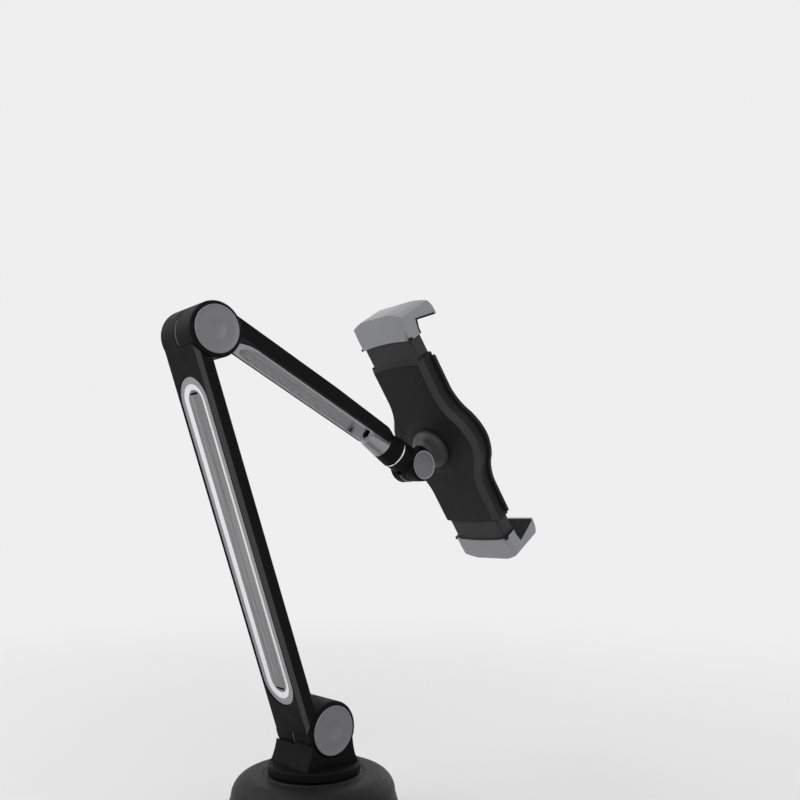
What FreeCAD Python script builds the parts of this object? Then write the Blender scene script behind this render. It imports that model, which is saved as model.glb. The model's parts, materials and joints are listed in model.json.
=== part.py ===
import FreeCAD, Part
import math
import os
import Sketcher
from FreeCAD import Placement, Rotation, Vector

# A suction cup stand whose two-piece arm carries a spring clamp for a flat device.
# Millimetres and degrees, +Z up, the origin at the middle of the cup's underside,
# +Y towards the back of the stand and -Y towards the reader.

# Driving sizes, each one a cell of the sheet
SIZES = {
    # Clearances: a shaft in its bore, parts that slide or swing past each other, a seat
    "running_gap": 0.05,
    "loose_gap": 0.3,
    "seat_gap": 0.1,
    "edge_bevel": 0.7,
    # Suction cup with its pull tab
    "cup_radius": 44.0,
    "cup_lip": 1.6,
    "cup_seat": 3.2,
    "cup_seat_inner": 36.0,
    "cup_seat_outer": 41.5,
    "cup_land_radius": 11.0,
    "cup_hollow": 1.5,
    "cup_hollow_radius": 27.0,
    "cup_floor": 4.5,
    "cup_boss_wall": 4.0,
    "cup_boss_depth": 3.7,
    "tab_reach": 11.0,
    "tab_width": 16.0,
    "tab_corner": 4.0,
    # Stem that pulls the middle of the cup up, and the pin that lifts it
    "foot_radius": 8.6,
    "foot_height": 1.8,
    "stem_radius": 6.2,
    "stem_height": 7.8,
    "stem_lift": 3.0,
    "cam_pin_radius": 1.5,
    "cam_pin_height": 4.9,
    "cam_pin_heading": 140.0,
    # Base housing
    "housing_radius": 40.5,
    "housing_height": 28.0,
    "housing_wall": 2.6,
    "housing_skirt": 4.3,
    "housing_shoulder_radius": 37.0,
    "housing_shoulder": 9.0,
    "housing_ceiling": 6.0,
    "guide_wall": 2.3,
    "guide_end": 0.6,
    # Lock lever, which swings level with the table
    "lever_swing": 80.0,
    "lever_width": 12.0,
    "lever_height": 3.6,
    "lever_reach": 55.0,
    "lever_grip": 11.0,
    "lever_grip_width": 17.0,
    "sleeve_wall": 3.3,
    "sleeve_height": 9.0,
    "window_spare": 12.0,
    # Turntable on the housing
    "turntable_radius": 21.0,
    "turntable_height": 4.2,
    "turntable_screw_radius": 3.0,
    "turntable_head_radius": 5.8,
    "turntable_head_height": 3.1,
    "turntable_washer_height": 0.9,
    "neck_depth": 22.0,
    "neck_flare": 3.0,
    # The two large hinges, at the base and at the elbow
    "base_pivot_height": 48.0,
    "hub_radius": 12.5,
    "hub_length": 28.0,
    "hinge_seam": 0.8,
    "hinge_washer_height": 0.6,
    "hinge_washer_radius": 12.2,
    "saddle_gap": 0.5,
    "cap_radius": 10.7,
    "cap_height": 1.3,
    "cap_proud": 0.6,
    "cap_rim": 1.4,
    "cap_rim_height": 0.25,
    "hinge_bolt_radius": 4.0,
    "hinge_head_radius": 7.6,
    "hinge_head_height": 3.8,
    "hinge_nut_radius": 7.5,
    "hinge_nut_height": 3.6,
    # Lower arm
    "arm_lean": 20.4,
    "arm_length": 185.0,
    "lower_width": 28.0,
    "lower_inner": 5.5,
    "arm_bevel": 1.8,
    "lower_inlay_width": 23.0,
    "lower_inlay_start": 16.5,
    "lower_inlay_height": 3.0,
    "lower_inlay_sink": 0.4,
    "channel_width": 16.4,
    "channel_floor": 11.2,
    "channel_depth": 0.6,
    "channel_start": 21.0,
    "cable_slot_width": 6.4,
    "cable_slot_length": 1.6,
    # Upper arm
    "arm_droop": 25.1,
    "upper_width": 21.2,
    "upper_inner": 5.3,
    "upper_outer": 12.4,
    "upper_end": 115.0,
    "upper_inlay_width": 17.6,
    "upper_inlay_proud": 0.2,
    "upper_inlay_start": 15.5,
    "upper_inlay_end": 112.5,
    "upper_inlay_depth": 4.6,
    "upper_channel_start": 20.5,
    "upper_channel_depth": 3.6,
    "upper_channel_wall": 1.5,
    "end_wall_start": 101.0,
    "end_wall": 1.6,
    "end_plate": 1.5,
    "end_corner": 3.0,
    "end_collar_start": 106.0,
    "end_collar_radius": 8.1,
    "end_swell_radius": 5.5,
    "driver_radius": 2.55,
    # Wrist swivel, on an axis along the upper arm
    "wrist_offset": 6.4,
    "wrist_seat": 121.1,
    "wrist_ring_height": 1.0,
    "wrist_ring_bevel": 0.3,
    "wrist_screw_radius": 3.0,
    "wrist_head_radius": 4.8,
    "wrist_head_height": 4.0,
    "wrist_washer_height": 1.0,
    "wrist_shoulder": 113.2,
    "wrist_thread": 4.6,
    "knuckle_radius": 7.95,
    # Tilt hinge of the holder
    "tilt_reach": 136.3,
    "tilt_radius": 8.5,
    "tilt_length": 16.0,
    "tongue_height": 4.2,
    "tongue_radius": 8.3,
    "tilt_bolt_radius": 2.5,
    "tilt_head_radius": 4.4,
    "tilt_head_height": 2.6,
    "tilt_nut_radius": 4.1,
    "tilt_cap_radius": 8.0,
    "tilt_cap_height": 1.05,
    "tilt_web": 1.9,
    # Mount that the holder turns on
    "plate_lean": 35.33,
    "plate_depth": 35.3,
    "neck_root": 9.5,
    "neck_root_radius": 6.5,
    "neck_half": 6.0,
    "collar_radius": 11.5,
    "collar_height": 5.2,
    "stub_radius": 6.0,
    "retainer_radius": 9.4,
    "retainer_height": 1.6,
    "retainer_screw_radius": 1.25,
    "retainer_head_radius": 2.4,
    # Holder body
    "body_front": 6.2,
    "body_back": 16.5,
    "body_bevel": 2.2,
    "body_wall": 1.7,
    "flange_width": 2.0,
    "flange_height": 2.0,
    "body_back_wall": 1.5,
    "waist_half": 20.0,
    "bulge_half": 30.0,
    "bulge_flat": 8.0,
    "bulge_end": 22.0,
    "body_end": 50.5,
    "body_bow": 1.75,
    "dome_radius": 19.0,
    "dome_height": 0.9,
    "boss_back": 13.4,
    "boss_radius": 9.6,
    "front_plate_height": 2.0,
    "front_plate_end": 38.5,
    "screw_across": 24.0,
    "screw_along": 7.0,
    "screw_post_radius": 2.8,
    "screw_radius": 1.0,
    "screw_head_radius": 2.1,
    "screw_head_height": 1.0,
    "screw_length": 6.0,
    "grip_half_width": 10.0,
    "grip_inner": 13.0,
    "grip_outer": 34.0,
    "grip_height": 0.5,
    # Rack and pinion that keep the jaws level
    "gear_module": 1.0,
    "gear_teeth": 16,
    "tooth_height": 0.8,
    "tooth_root": 1.1,
    "tooth_backlash": 0.3,
    "tooth_flare": 0.55,
    "tooth_taper": 0.2,
    "pressure_angle": 20.0,
    "pinion_front": 9.4,
    "pinion_height": 1.8,
    "pinion_post_radius": 2.5,
    "spring_inner": 3.2,
    "spring_outer": 6.5,
    "spring_height": 0.8,
    "rack_outer": 15.2,
    "rack_front": 8.5,
    "rack_height": 2.8,
    "rack_end": 33.0,
    # Jaws, both alike, at the places where they grip the device
    "jaw_open": 24.0,
    "jaw_close": 10.0,
    "slider_half": 18.0,
    "slider_back": 14.7,
    "slider_block": 49.5,
    "slider_plate_front": 12.0,
    "slider_plate_start": 20.0,
    "slider_to_seat": 8.3,
    "slider_bevel": 1.5,
    "tenon_half": 14.0,
    "tenon_front": 8.9,
    "tenon_back": 13.2,
    "tenon_length": 4.0,
    "clamp_half": 19.5,
    "clamp_bow": 1.75,
    "clamp_side_round": 3.5,
    "clamp_back": 16.0,
    "clamp_front": -9.8,
    "clamp_front_round": 10.0,
    "crown_rise": 8.8,
    "crown_arch": 1.4,
    "crown_bow": 4.6,
    "crown_back": 13.5,
    "crown_front": -4.0,
    "seat_depth": 69.5,
    "seat_rise": 5.5,
    "seat_back": 6.0,
    "seat_middle": 4.6,
    "seat_sink": 1.2,
    "seat_slope": 4.3,
    "seat_front": -8.6,
    "pad_wall": 1.2,
    "pad_apex": 1.3,
    "lens_half": 8.5,
    "lens_radius": 2.2,
    "lens_place": -4.5,
    "lens_depth": 2.5,
}

doc = FreeCAD.newDocument("SuctionCupHolder")
sheet = doc.addObject("Spreadsheet::Sheet", "Sizes")
for row, (alias, number) in enumerate(SIZES.items(), start=1):
    sheet.set(f"A{row}", alias.replace("_", " "))
    sheet.set(f"B{row}", str(number))
    sheet.setAlias(f"B{row}", alias)
doc.recompute()


class Size:
    """A size of the sheet, or one worked out from some, with its expression."""

    def __init__(self, value, text):
        self.value = value
        self.text = text

    def __add__(self, other):
        other = as_size(other)
        return Size(self.value + other.value, f"({self.text} + {other.text})")

    def __sub__(self, other):
        other = as_size(other)
        return Size(self.value - other.value, f"({self.text} - {other.text})")

    def __mul__(self, other):
        other = as_size(other)
        return Size(self.value * other.value, f"({self.text} * {other.text})")

    def __truediv__(self, other):
        other = as_size(other)
        return Size(self.value / other.value, f"({self.text} / {other.text})")

    def __neg__(self):
        return Size(-self.value, f"(0 - {self.text})")

    def __radd__(self, other):
        return as_size(other) + self

    def __rsub__(self, other):
        return as_size(other) - self

    def __rmul__(self, other):
        return as_size(other) * self


def as_size(number):
    if isinstance(number, Size):
        return number
    return Size(float(number), f"({number})")


def size(alias):
    return Size(float(sheet.get(alias)), f"Sizes.{alias}")


def sine(angle):
    angle = as_size(angle)
    return Size(math.sin(math.radians(angle.value)), f"sin({angle.text})")


def cosine(angle):
    angle = as_size(angle)
    return Size(math.cos(math.radians(angle.value)), f"cos({angle.text})")


NOTHING = as_size(0)
RUNNING = size("running_gap")
LOOSE = size("loose_gap")
SEAT = size("seat_gap")
BEVEL = size("edge_bevel")
PAST = 1.5  # a cutter ends this many times as far out as the edge it passes
NEAR = 1e-6  # mm, by which two places count as the same
FULL_TURN = 360
HALF_TURN = 180
SQUARE = 90
HEX_SIDES = 6
SPARE_TEETH = 5


class Piece:
    """One sub-part: a body with its label, its place and short ways to add features."""

    def __init__(self, node, place):
        self.body = doc.addObject("PartDesign::Body", node)
        self.body.Label = node
        self.body.Placement = place

    def plane(self, role):
        return next(o for o in self.body.Origin.OriginFeatures if o.Role == role)

    def sketch(self, role, offset, loops, circles=()):
        """Loops of straight and round edges and circles, on a plane moved along its normal."""
        sketch = self.body.newObject("Sketcher::SketchObject", "Outline")
        sketch.AttachmentSupport = [(self.plane(role), "")]
        sketch.MapMode = "FlatFace"
        offset = as_size(offset)
        sketch.AttachmentOffset = Placement(Vector(0, 0, offset.value), Rotation())
        sketch.setExpression("AttachmentOffset.Base.z", offset.text)
        for loop in loops:
            draw_loop(sketch, [[as_size(v) for v in corner] for corner in loop])
        for x, y, radius in circles:
            draw_circle(sketch, as_size(x), as_size(y), as_size(radius))
        return sketch

    def pad(self, role, low, high, loops=(), circles=()):
        """Adds material between two places along the plane's axis."""
        low, high = as_size(low), as_size(high)
        start = -high if role == "XZ_Plane" else low
        sketch = self.sketch(role, start, loops, circles)
        pad = self.body.newObject("PartDesign::Pad", "Pad")
        pad.Profile = sketch
        pad.setExpression("Length", (high - low).text)
        return pad

    def cut(self, role, low, high, loops=(), circles=(), taper=0):
        """Takes material away between two places along the plane's axis."""
        low, high = as_size(low), as_size(high)
        start = -low if role == "XZ_Plane" else high
        sketch = self.sketch(role, start, loops, circles)
        doc.recompute()
        before = self.body.Shape.Volume
        pocket = self.body.newObject("PartDesign::Pocket", "Pocket")
        pocket.Profile = sketch
        pocket.setExpression("Length", (high - low).text)
        if taper:
            pocket.TaperAngle = taper
        doc.recompute()
        if self.body.Shape.Volume >= before:
            raise RuntimeError(f"{self.body.Label}: a pocket takes nothing away")
        return pocket

    def turn(self, about, profile, along=0):
        """Adds a solid of revolution about X, Y or Z: corners are (along X, radius) about X,
        (radius, along the axis) about Y and Z."""
        return self._revolve("PartDesign::Revolution", about, profile, along)

    def groove(self, about, profile, along=0):
        doc.recompute()
        before = self.body.Shape.Volume
        groove = self._revolve("PartDesign::Groove", about, profile, along)
        doc.recompute()
        if self.body.Shape.Volume >= before:
            raise RuntimeError(f"{self.body.Label}: a groove takes nothing away")
        return groove

    def _revolve(self, kind, about, profile, along):
        role = "XZ_Plane" if about == "Z" else "XY_Plane"
        sketch = self.sketch(role, along, [profile])
        feature = self.body.newObject(kind, "Turned")
        feature.Profile = sketch
        feature.ReferenceAxis = (sketch, ["H_Axis" if about == "X" else "V_Axis"])
        feature.Angle = FULL_TURN
        return feature

    def edges(self, wanted):
        """Names of the edges whose ends and middle all pass a test."""
        doc.recompute()
        names = []
        for number, edge in enumerate(self.body.Tip.Shape.Edges, start=1):
            points = [vertex.Point for vertex in edge.Vertexes]
            points.append(edge.valueAt((edge.FirstParameter + edge.LastParameter) / 2))
            if all(wanted(point) for point in points):
                names.append(f"Edge{number}")
        return names

    def bevel(self, kind, amount, wanted):
        """A chamfer or a fillet on the edges that pass a test."""
        names = self.edges(wanted)
        if not names:
            raise RuntimeError(f"{self.body.Label}: no edge to bevel")
        base = self.body.Tip
        feature = self.body.newObject(f"PartDesign::{kind}", kind)
        feature.Base = (base, names)
        feature.setExpression("Size" if kind == "Chamfer" else "Radius", as_size(amount).text)
        return feature


def draw_loop(sketch, corners):
    """A closed loop. A corner's third value is the radius of the arc that arrives at it,
    positive where the arc turns left and negative where it turns right."""
    count = len(corners)
    first = sketch.GeometryCount
    edges = []
    for i, corner in enumerate(corners):
        after = corners[(i + 1) % count]
        start = Vector(corner[0].value, corner[1].value, 0)
        end = Vector(after[0].value, after[1].value, 0)
        if len(after) == 2:
            edges.append((Part.LineSegment(start, end), 1, 2))
            continue
        radius = abs(after[2].value)
        left = after[2].value > 0
        half = (end - start) * 0.5
        rise = math.sqrt(max(radius ** 2 - half.Length ** 2, 0)) * (1 if left else -1)
        centre = start + half + Vector(-half.y, half.x, 0) * (rise / half.Length)
        a, b = (start, end) if left else (end, start)
        angles = [math.atan2(p.y - centre.y, p.x - centre.x) for p in (a, b)]
        circle = Part.Circle(centre, Vector(0, 0, 1), radius)
        arc = Part.ArcOfCircle(circle, *angles)
        edges.append((arc, 1, 2) if left else (arc, 2, 1))
    sketch.addGeometry([edge[0] for edge in edges])
    rules = []
    bound = []
    for i, corner in enumerate(corners):
        here = first + i
        after = first + (i + 1) % count
        _, begins, ends = edges[i]
        rules.append(Sketcher.Constraint("Coincident", here, ends, after, edges[(i + 1) % count][1]))
        for kind, value in (("DistanceX", corner[0]), ("DistanceY", corner[1])):
            bound.append((len(rules), value))
            rules.append(Sketcher.Constraint(kind, -1, 1, here, begins, value.value))
        target = corners[(i + 1) % count]
        if len(target) == 3:
            turn = target[2] if target[2].value > 0 else -target[2]
            bound.append((len(rules), turn))
            rules.append(Sketcher.Constraint("Radius", here, turn.value))
    bind(sketch, rules, bound)


def draw_circle(sketch, x, y, radius):
    sketch.addGeometry(Part.Circle(Vector(x.value, y.value, 0), Vector(0, 0, 1), radius.value))
    here = sketch.GeometryCount - 1
    rules = [
        Sketcher.Constraint("DistanceX", -1, 1, here, 3, x.value),
        Sketcher.Constraint("DistanceY", -1, 1, here, 3, y.value),
        Sketcher.Constraint("Radius", here, radius.value),
    ]
    bind(sketch, rules, [(0, x), (1, y), (2, radius)])


def bind(sketch, rules, bound):
    """Adds the constraints and ties each to its expression on the sheet."""
    before = sketch.ConstraintCount
    sketch.addConstraint(rules)
    for index, value in bound:
        if "Sizes." in value.text:
            sketch.setExpression(f"Constraints[{before + index}]", value.text)


def box(x0, x1, y0, y1):
    return [(x0, y0), (x1, y0), (x1, y1), (x0, y1)]


def slot(half, low, high):
    """A loop with round ends along the sketch's second axis."""
    return [
        (0, low, half),
        (half, low + half, half),
        (half, high - half),
        (0, high, half),
        (-half, high - half, half),
        (-half, low + half),
    ]


def rotated(corners, angle):
    """Corners turned about the origin by an angle."""
    return [
        (x * cosine(angle) - y * sine(angle), x * sine(angle) + y * cosine(angle))
        for x, y in ((as_size(p[0]), as_size(p[1])) for p in corners)
    ]


def tilted(origin, turn, about=Vector(1, 0, 0)):
    return Placement(origin, Rotation(about, turn))


# Places: each moving group is drawn about its own axis and then put where it belongs
GROUND = Placement()
BASE_HINGE = tilted(Vector(0, 0, size("base_pivot_height").value), 0)
LOWER_ARM = tilted(Vector(0, 0, size("base_pivot_height").value), -size("arm_lean").value)
ELBOW = LOWER_ARM.multVec(Vector(0, 0, size("arm_length").value))
UPPER_ARM = tilted(ELBOW, SQUARE + size("arm_droop").value)
WRIST = Placement(UPPER_ARM.multVec(Vector(0, size("wrist_offset").value, 0)), UPPER_ARM.Rotation)
TILT_POINT = WRIST.multVec(Vector(0, 0, size("tilt_reach").value))
TILT_HINGE = Placement(TILT_POINT, WRIST.Rotation)
HOLDER_TURN = Rotation(Vector(1, 0, 0), -size("plate_lean").value)
HOLDER = Placement(
    TILT_POINT - HOLDER_TURN.multVec(Vector(0, size("plate_depth").value, 0)), HOLDER_TURN
)
BOTTOM_JAW = HOLDER.multiply(tilted(Vector(), HALF_TURN, Vector(0, 1, 0)))
CAM_PIN = tilted(Vector(), size("cam_pin_heading").value, Vector(0, 0, 1))

# Heights in the base, from the table up
recess_floor = size("cup_floor")
boss_top = recess_floor + size("cup_boss_depth")
foot_bottom = recess_floor + LOOSE + size("stem_lift")
foot_top = foot_bottom + size("foot_height")
stem_top = foot_top + size("stem_height")
pin_height = foot_top + size("cam_pin_height")
pin_room = size("cam_pin_radius") + LOOSE
ceiling = size("housing_height") - size("housing_ceiling")
guide_inner = size("stem_radius") + SEAT
guide_outer = guide_inner + size("guide_wall")
sleeve_inner = guide_outer + LOOSE
sleeve_outer = sleeve_inner + size("sleeve_wall")
sleeve_bottom = boss_top + LOOSE + SEAT
lever_bottom = sleeve_bottom + (size("sleeve_height") - size("lever_height")) / 2
lever_top = lever_bottom + size("lever_height")
disc_bottom = size("housing_height") + LOOSE
disc_top = disc_bottom + size("turntable_height")

# Places along the hinges, measured from the seam outwards
seam = size("hinge_seam") / 2
hub_end = size("hub_length") / 2
cap_seat = hub_end - size("cap_height") + size("cap_proud") - SEAT
head_seat = cap_seat - SEAT - size("hinge_head_height")
nut_seat = cap_seat - SEAT - size("hinge_nut_height")


def suction_cup():
    """Soft rubber cup pressed flat, with a shallow ring of relief and a tab to peel it."""
    piece = Piece("suction_cup", GROUND)
    radius = size("cup_radius")
    inner = size("foot_radius") + LOOSE
    outer = inner + size("cup_boss_wall")
    piece.turn("Z", [
        (0, 0),
        (size("cup_land_radius"), 0),
        ((size("cup_land_radius") + size("cup_hollow_radius")) / 2, size("cup_hollow")),
        (size("cup_hollow_radius"), 0),
        (radius - size("cup_lip") / 2, 0),
        (radius, size("cup_lip") / 2),
        (radius, size("cup_lip")),
        (size("cup_seat_outer"), size("cup_seat")),
        (size("cup_seat_inner"), size("cup_seat")),
        (outer, recess_floor + size("cup_lip")),
        (outer, boss_top),
        (inner, boss_top),
        (inner, recess_floor),
        (0, recess_floor),
    ])
    half = size("tab_width") / 2
    corner = size("tab_corner")
    near = -radius + size("cup_lip")
    far = -radius - size("tab_reach")
    piece.pad("XY_Plane", 0, size("cup_lip"), [[
        (-half, near),
        (-half, far + corner),
        (corner - half, far, corner),
        (half - corner, far),
        (half, far + corner, corner),
        (half, near),
    ]])
    return piece


def suction_stem():
    """Stem whose foot is bonded to the middle of the cup, cross-drilled for the cam pin."""
    piece = Piece("suction_stem", CAM_PIN)
    piece.turn("Z", [
        (0, foot_bottom),
        (size("foot_radius"), foot_bottom),
        (size("foot_radius"), foot_top),
        (size("stem_radius"), foot_top),
        (size("stem_radius"), stem_top),
        (0, stem_top),
    ])
    reach = size("stem_radius") * 2
    piece.cut("YZ_Plane", -reach, reach, circles=[(0, pin_height, size("cam_pin_radius"))])
    return piece


def cam_pin():
    """Cross pin of the stem, lifted by the ramps in the lever's sleeve."""
    pin = doc.addObject("Part::Cylinder", "cam_pin")
    pin.Label = "cam_pin"
    pin.setExpression("Radius", size("cam_pin_radius").text)
    length = (sleeve_outer - LOOSE) * 2
    pin.setExpression("Height", length.text)
    start = CAM_PIN.multVec(Vector(-length.value / 2, 0, pin_height.value))
    pin.Placement = Placement(start, CAM_PIN.Rotation.multiply(Rotation(Vector(0, 1, 0), SQUARE)))
    return pin


def base_housing():
    """Round housing on the cup: a skirt, a shoulder and a ceiling with a guide tube."""
    piece = Piece("base_housing", GROUND)
    radius = size("housing_radius")
    height = size("housing_height")
    wall = size("housing_wall")
    skirt = size("cup_seat") + size("housing_skirt")
    shoulder = size("housing_shoulder_radius")
    curve = size("housing_shoulder")
    bore = size("turntable_screw_radius") + RUNNING
    guide_low = foot_top + size("guide_end")
    piece.turn("Z", [
        (radius - wall, size("cup_seat")),
        (radius, size("cup_seat")),
        (radius, skirt),
        (shoulder, height - curve),
        (shoulder - curve, height, curve),
        (bore, height),
        (bore, ceiling),
        (guide_inner, ceiling),
        (guide_inner, guide_low),
        (guide_outer, guide_low),
        (guide_outer, ceiling),
        (shoulder - curve - wall, ceiling),
        (shoulder - wall, height - curve),
        (radius - wall, skirt),
    ])
    reach = guide_outer + LOOSE
    low = pin_height - size("stem_lift") - pin_room
    slots = rotated(box(-reach, reach, -pin_room, pin_room), size("cam_pin_heading"))
    piece.cut("XY_Plane", low, pin_height + pin_room, [slots])
    half = size("lever_width") / 2 + LOOSE
    near = sleeve_outer + size("lever_width")
    far = radius * PAST
    swing = -size("lever_swing")
    first, last = rotated([(half, far), (half, near)], swing)
    piece.cut("XY_Plane", lever_bottom - LOOSE, lever_top + LOOSE, [[
        (-half, near),
        last,
        first,
        (far, far),
        (-half, far),
    ]])
    return piece


def lock_lever():
    """Lever on a sleeve round the guide tube; the windows in the sleeve carry the cam pin."""
    piece = Piece("lock_lever", GROUND)
    piece.turn("Z", [
        (sleeve_inner, sleeve_bottom),
        (sleeve_outer, sleeve_bottom),
        (sleeve_outer, sleeve_bottom + size("sleeve_height")),
        (sleeve_inner, sleeve_bottom + size("sleeve_height")),
    ])
    half = size("lever_width") / 2
    reach = size("lever_reach")
    piece.pad("XY_Plane", lever_bottom, lever_top, [
        box(-half, half, (sleeve_inner + sleeve_outer) / 2, reach - size("lever_grip") / 2)
    ])
    wide = size("lever_grip_width") / 2
    corner = size("lever_grip") / 2
    piece.pad("XY_Plane", lever_bottom, lever_top + BEVEL, [[
        (-wide, reach - size("lever_grip")),
        (wide, reach - size("lever_grip")),
        (wide, reach - corner),
        (wide - corner, reach, corner),
        (corner - wide, reach),
        (-wide, reach - corner, corner),
    ]])
    spare = size("window_spare")
    inner = sleeve_inner / 2
    outer = sleeve_outer * PAST
    low = pin_height - size("stem_lift") - pin_room
    for start in (size("cam_pin_heading"), size("cam_pin_heading") + HALF_TURN):
        turns = [start - spare, start + size("lever_swing") / 2, start + size("lever_swing") + spare]
        window = [(inner * cosine(turns[0]), inner * sine(turns[0]))]
        window += [(outer * cosine(turn), outer * sine(turn)) for turn in turns]
        window.append((inner * cosine(turns[2]), inner * sine(turns[2])))
        piece.cut("XY_Plane", low, pin_height + pin_room, [window])
    return piece


def hub(piece, side, along, outer_recess):
    """Half of a hinge barrel on one side of the seam, with its bore and recesses."""
    radius = size("hub_radius")
    bore = size("hinge_bolt_radius") + RUNNING
    cap = size("cap_radius") + SEAT
    recess, seat = outer_recess
    back = radius / 2
    profile = [
        (side * seam, 0),
        (side * seam, radius),
        (side * (hub_end - BEVEL), radius),
        (side * hub_end, radius - BEVEL),
        (side * hub_end, 0),
    ]
    piece.turn("X", profile, along)
    hollow = [
        (side * (seam - LOOSE), 0),
        (side * (seam - LOOSE), bore),
        (side * seat, bore),
        (side * seat, recess),
        (side * cap_seat, recess),
        (side * cap_seat, cap),
        (side * (hub_end + back), cap),
        (side * (hub_end + back), 0),
    ]
    piece.groove("X", hollow, along)


def head_hub(piece, along):
    hub(piece, -1, along, (size("hinge_head_radius") + LOOSE, head_seat))


def nut_hub(piece, along):
    hub(piece, 1, along, (size("hinge_nut_radius") + LOOSE, nut_seat))


def saddle(piece, side, along):
    """Hollow under the neighbour's half of the barrel, so that the arm can turn past it."""
    far = side * hub_end * PAST
    near = -side * seam
    low, high = (near, far) if side > 0 else (far, near)
    reach = size("hub_radius") + size("saddle_gap")
    piece.cut("YZ_Plane", low, high, circles=[(0, along, reach)])


def hinge_bolt(node, place):
    piece = Piece(node, place)
    head = size("hinge_head_radius")
    bolt = size("hinge_bolt_radius")
    tip = nut_seat + size("hinge_nut_height")
    outer = head_seat + size("hinge_head_height")
    piece.turn("X", [
        (-outer, 0),
        (tip, 0),
        (tip, bolt),
        (-head_seat, bolt),
        (-head_seat, head),
        (BEVEL - outer, head),
        (-outer, head - BEVEL),
    ])
    return piece


def hexagon(radius):
    step = FULL_TURN // HEX_SIDES
    return [(radius * cosine(step * i), radius * sine(step * i)) for i in range(HEX_SIDES)]


def hinge_nut(node, place):
    piece = Piece(node, place)
    piece.pad(
        "YZ_Plane",
        nut_seat,
        nut_seat + size("hinge_nut_height"),
        [hexagon(size("hinge_nut_radius"))],
        [(0, 0, size("hinge_bolt_radius"))],
    )
    return piece


def hinge_washer(node, place):
    """Slip washer that shows as a hairline in the seam."""
    piece = Piece(node, place)
    half = size("hinge_washer_height") / 2
    rings = [(0, 0, size("hinge_washer_radius")), (0, 0, size("hinge_bolt_radius") + RUNNING)]
    piece.pad("YZ_Plane", -half, half, circles=rings)
    return piece


def hinge_cap(node, place, side):
    """Round cover over a hinge's end, with a raised rim."""
    piece = Piece(node, place)
    radius = size("cap_radius")
    face = cap_seat + size("cap_height")
    rim = size("cap_rim")
    low = face - size("cap_rim_height")
    piece.turn("X", [
        (side * cap_seat, 0),
        (side * cap_seat, radius),
        (side * low, radius),
        (side * face, radius - rim / 3),
        (side * face, radius - rim),
        (side * low, radius - rim * 4 / 3),
        (side * low, 0),
    ])
    return piece


def base_yoke():
    """Turntable disc with a neck that carries the front half of the base hinge."""
    piece = Piece("base_yoke", GROUND)
    radius = size("turntable_radius")
    piece.turn("Z", [
        (0, disc_bottom),
        (radius - BEVEL, disc_bottom),
        (radius, disc_bottom + BEVEL),
        (radius, disc_top - BEVEL),
        (radius - BEVEL, disc_top),
        (0, disc_top),
    ])
    pivot = size("base_pivot_height")
    half = size("neck_depth") / 2
    foot = half + size("neck_flare")
    waist = (disc_top + pivot) / 2
    piece.pad("YZ_Plane", -hub_end, hub_end, [[
        (-foot, disc_top),
        (foot, disc_top),
        (half, waist),
        (half, pivot),
        (-half, pivot),
        (-half, waist),
    ]])
    saddle(piece, 1, pivot)
    head_hub(piece, pivot)
    screw_top = pivot - size("hub_radius") - size("saddle_gap")
    thread = [(0, 0, size("turntable_screw_radius"))]
    piece.cut("XY_Plane", disc_bottom - BEVEL, screw_top, circles=thread)
    return piece


def turntable_screw():
    """Screw that holds the turntable down from inside the housing."""
    piece = Piece("turntable_screw", GROUND)
    washer = size("turntable_washer_height") + RUNNING * 2
    under = ceiling - washer
    top = size("base_pivot_height") - size("hub_radius") - size("saddle_gap")
    head = size("turntable_head_radius")
    piece.turn("Z", [
        (0, under - size("turntable_head_height")),
        (head - BEVEL, under - size("turntable_head_height")),
        (head, under - size("turntable_head_height") + BEVEL),
        (head, under),
        (size("turntable_screw_radius"), under),
        (size("turntable_screw_radius"), top),
        (0, top),
    ])
    return piece


def turntable_washer():
    piece = Piece("turntable_washer", GROUND)
    low = ceiling - size("turntable_washer_height") - RUNNING
    rings = [(0, 0, size("turntable_head_radius"))]
    rings.append((0, 0, size("turntable_screw_radius") + RUNNING))
    piece.pad("XY_Plane", low, low + size("turntable_washer_height"), circles=rings)
    return piece


lower_outer = size("hub_radius")
lower_groove = lower_outer - size("lower_inlay_height")


def lower_arm_beam():
    """Black arm: a flat bar that runs into the rear half of a barrel at both ends."""
    piece = Piece("lower_arm_beam", LOWER_ARM)
    length = size("arm_length")
    half = size("lower_width") / 2
    inner = size("lower_inner")
    cut = size("arm_bevel")
    piece.pad("XY_Plane", 0, length, [[
        (cut / 2 - half, inner),
        (half - cut / 2, inner),
        (half, inner + cut / 2),
        (half, lower_outer - cut),
        (half - cut, lower_outer),
        (cut - half, lower_outer),
        (-half, lower_outer - cut),
        (-half, inner + cut / 2),
    ]])
    for along in (NOTHING, length):
        saddle(piece, -1, along)
        nut_hub(piece, along)
    start = size("lower_inlay_start") - SEAT
    groove = slot(size("lower_inlay_width") / 2 + SEAT, start, length - start)
    piece.cut("XZ_Plane", lower_groove, lower_outer + cut, [groove])
    return piece


def lower_arm_inlay():
    """Bright strip let into the arm, with a channel that has sloping walls."""
    piece = Piece("lower_arm_inlay", LOWER_ARM)
    length = size("arm_length")
    start = size("lower_inlay_start")
    face = lower_outer - size("lower_inlay_sink")
    piece.pad("XZ_Plane", lower_groove, face, [
        slot(size("lower_inlay_width") / 2, start, length - start)
    ])
    start = size("channel_start")
    half = size("channel_width") / 2
    depth = size("channel_depth")
    slope = math.degrees(math.atan((half - size("channel_floor") / 2).value / depth.value))
    channel = slot(half, start, length - start)
    piece.cut("XZ_Plane", face - depth, face, [channel], taper=-slope)
    wall = half - size("channel_floor") / 2
    across = size("cable_slot_width") / 2
    reach = size("cable_slot_length")
    for end in (start + wall, length - start - wall - reach):
        piece.cut("XZ_Plane", lower_groove, face, [box(-across, across, end, end + reach)])
    return piece


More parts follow.
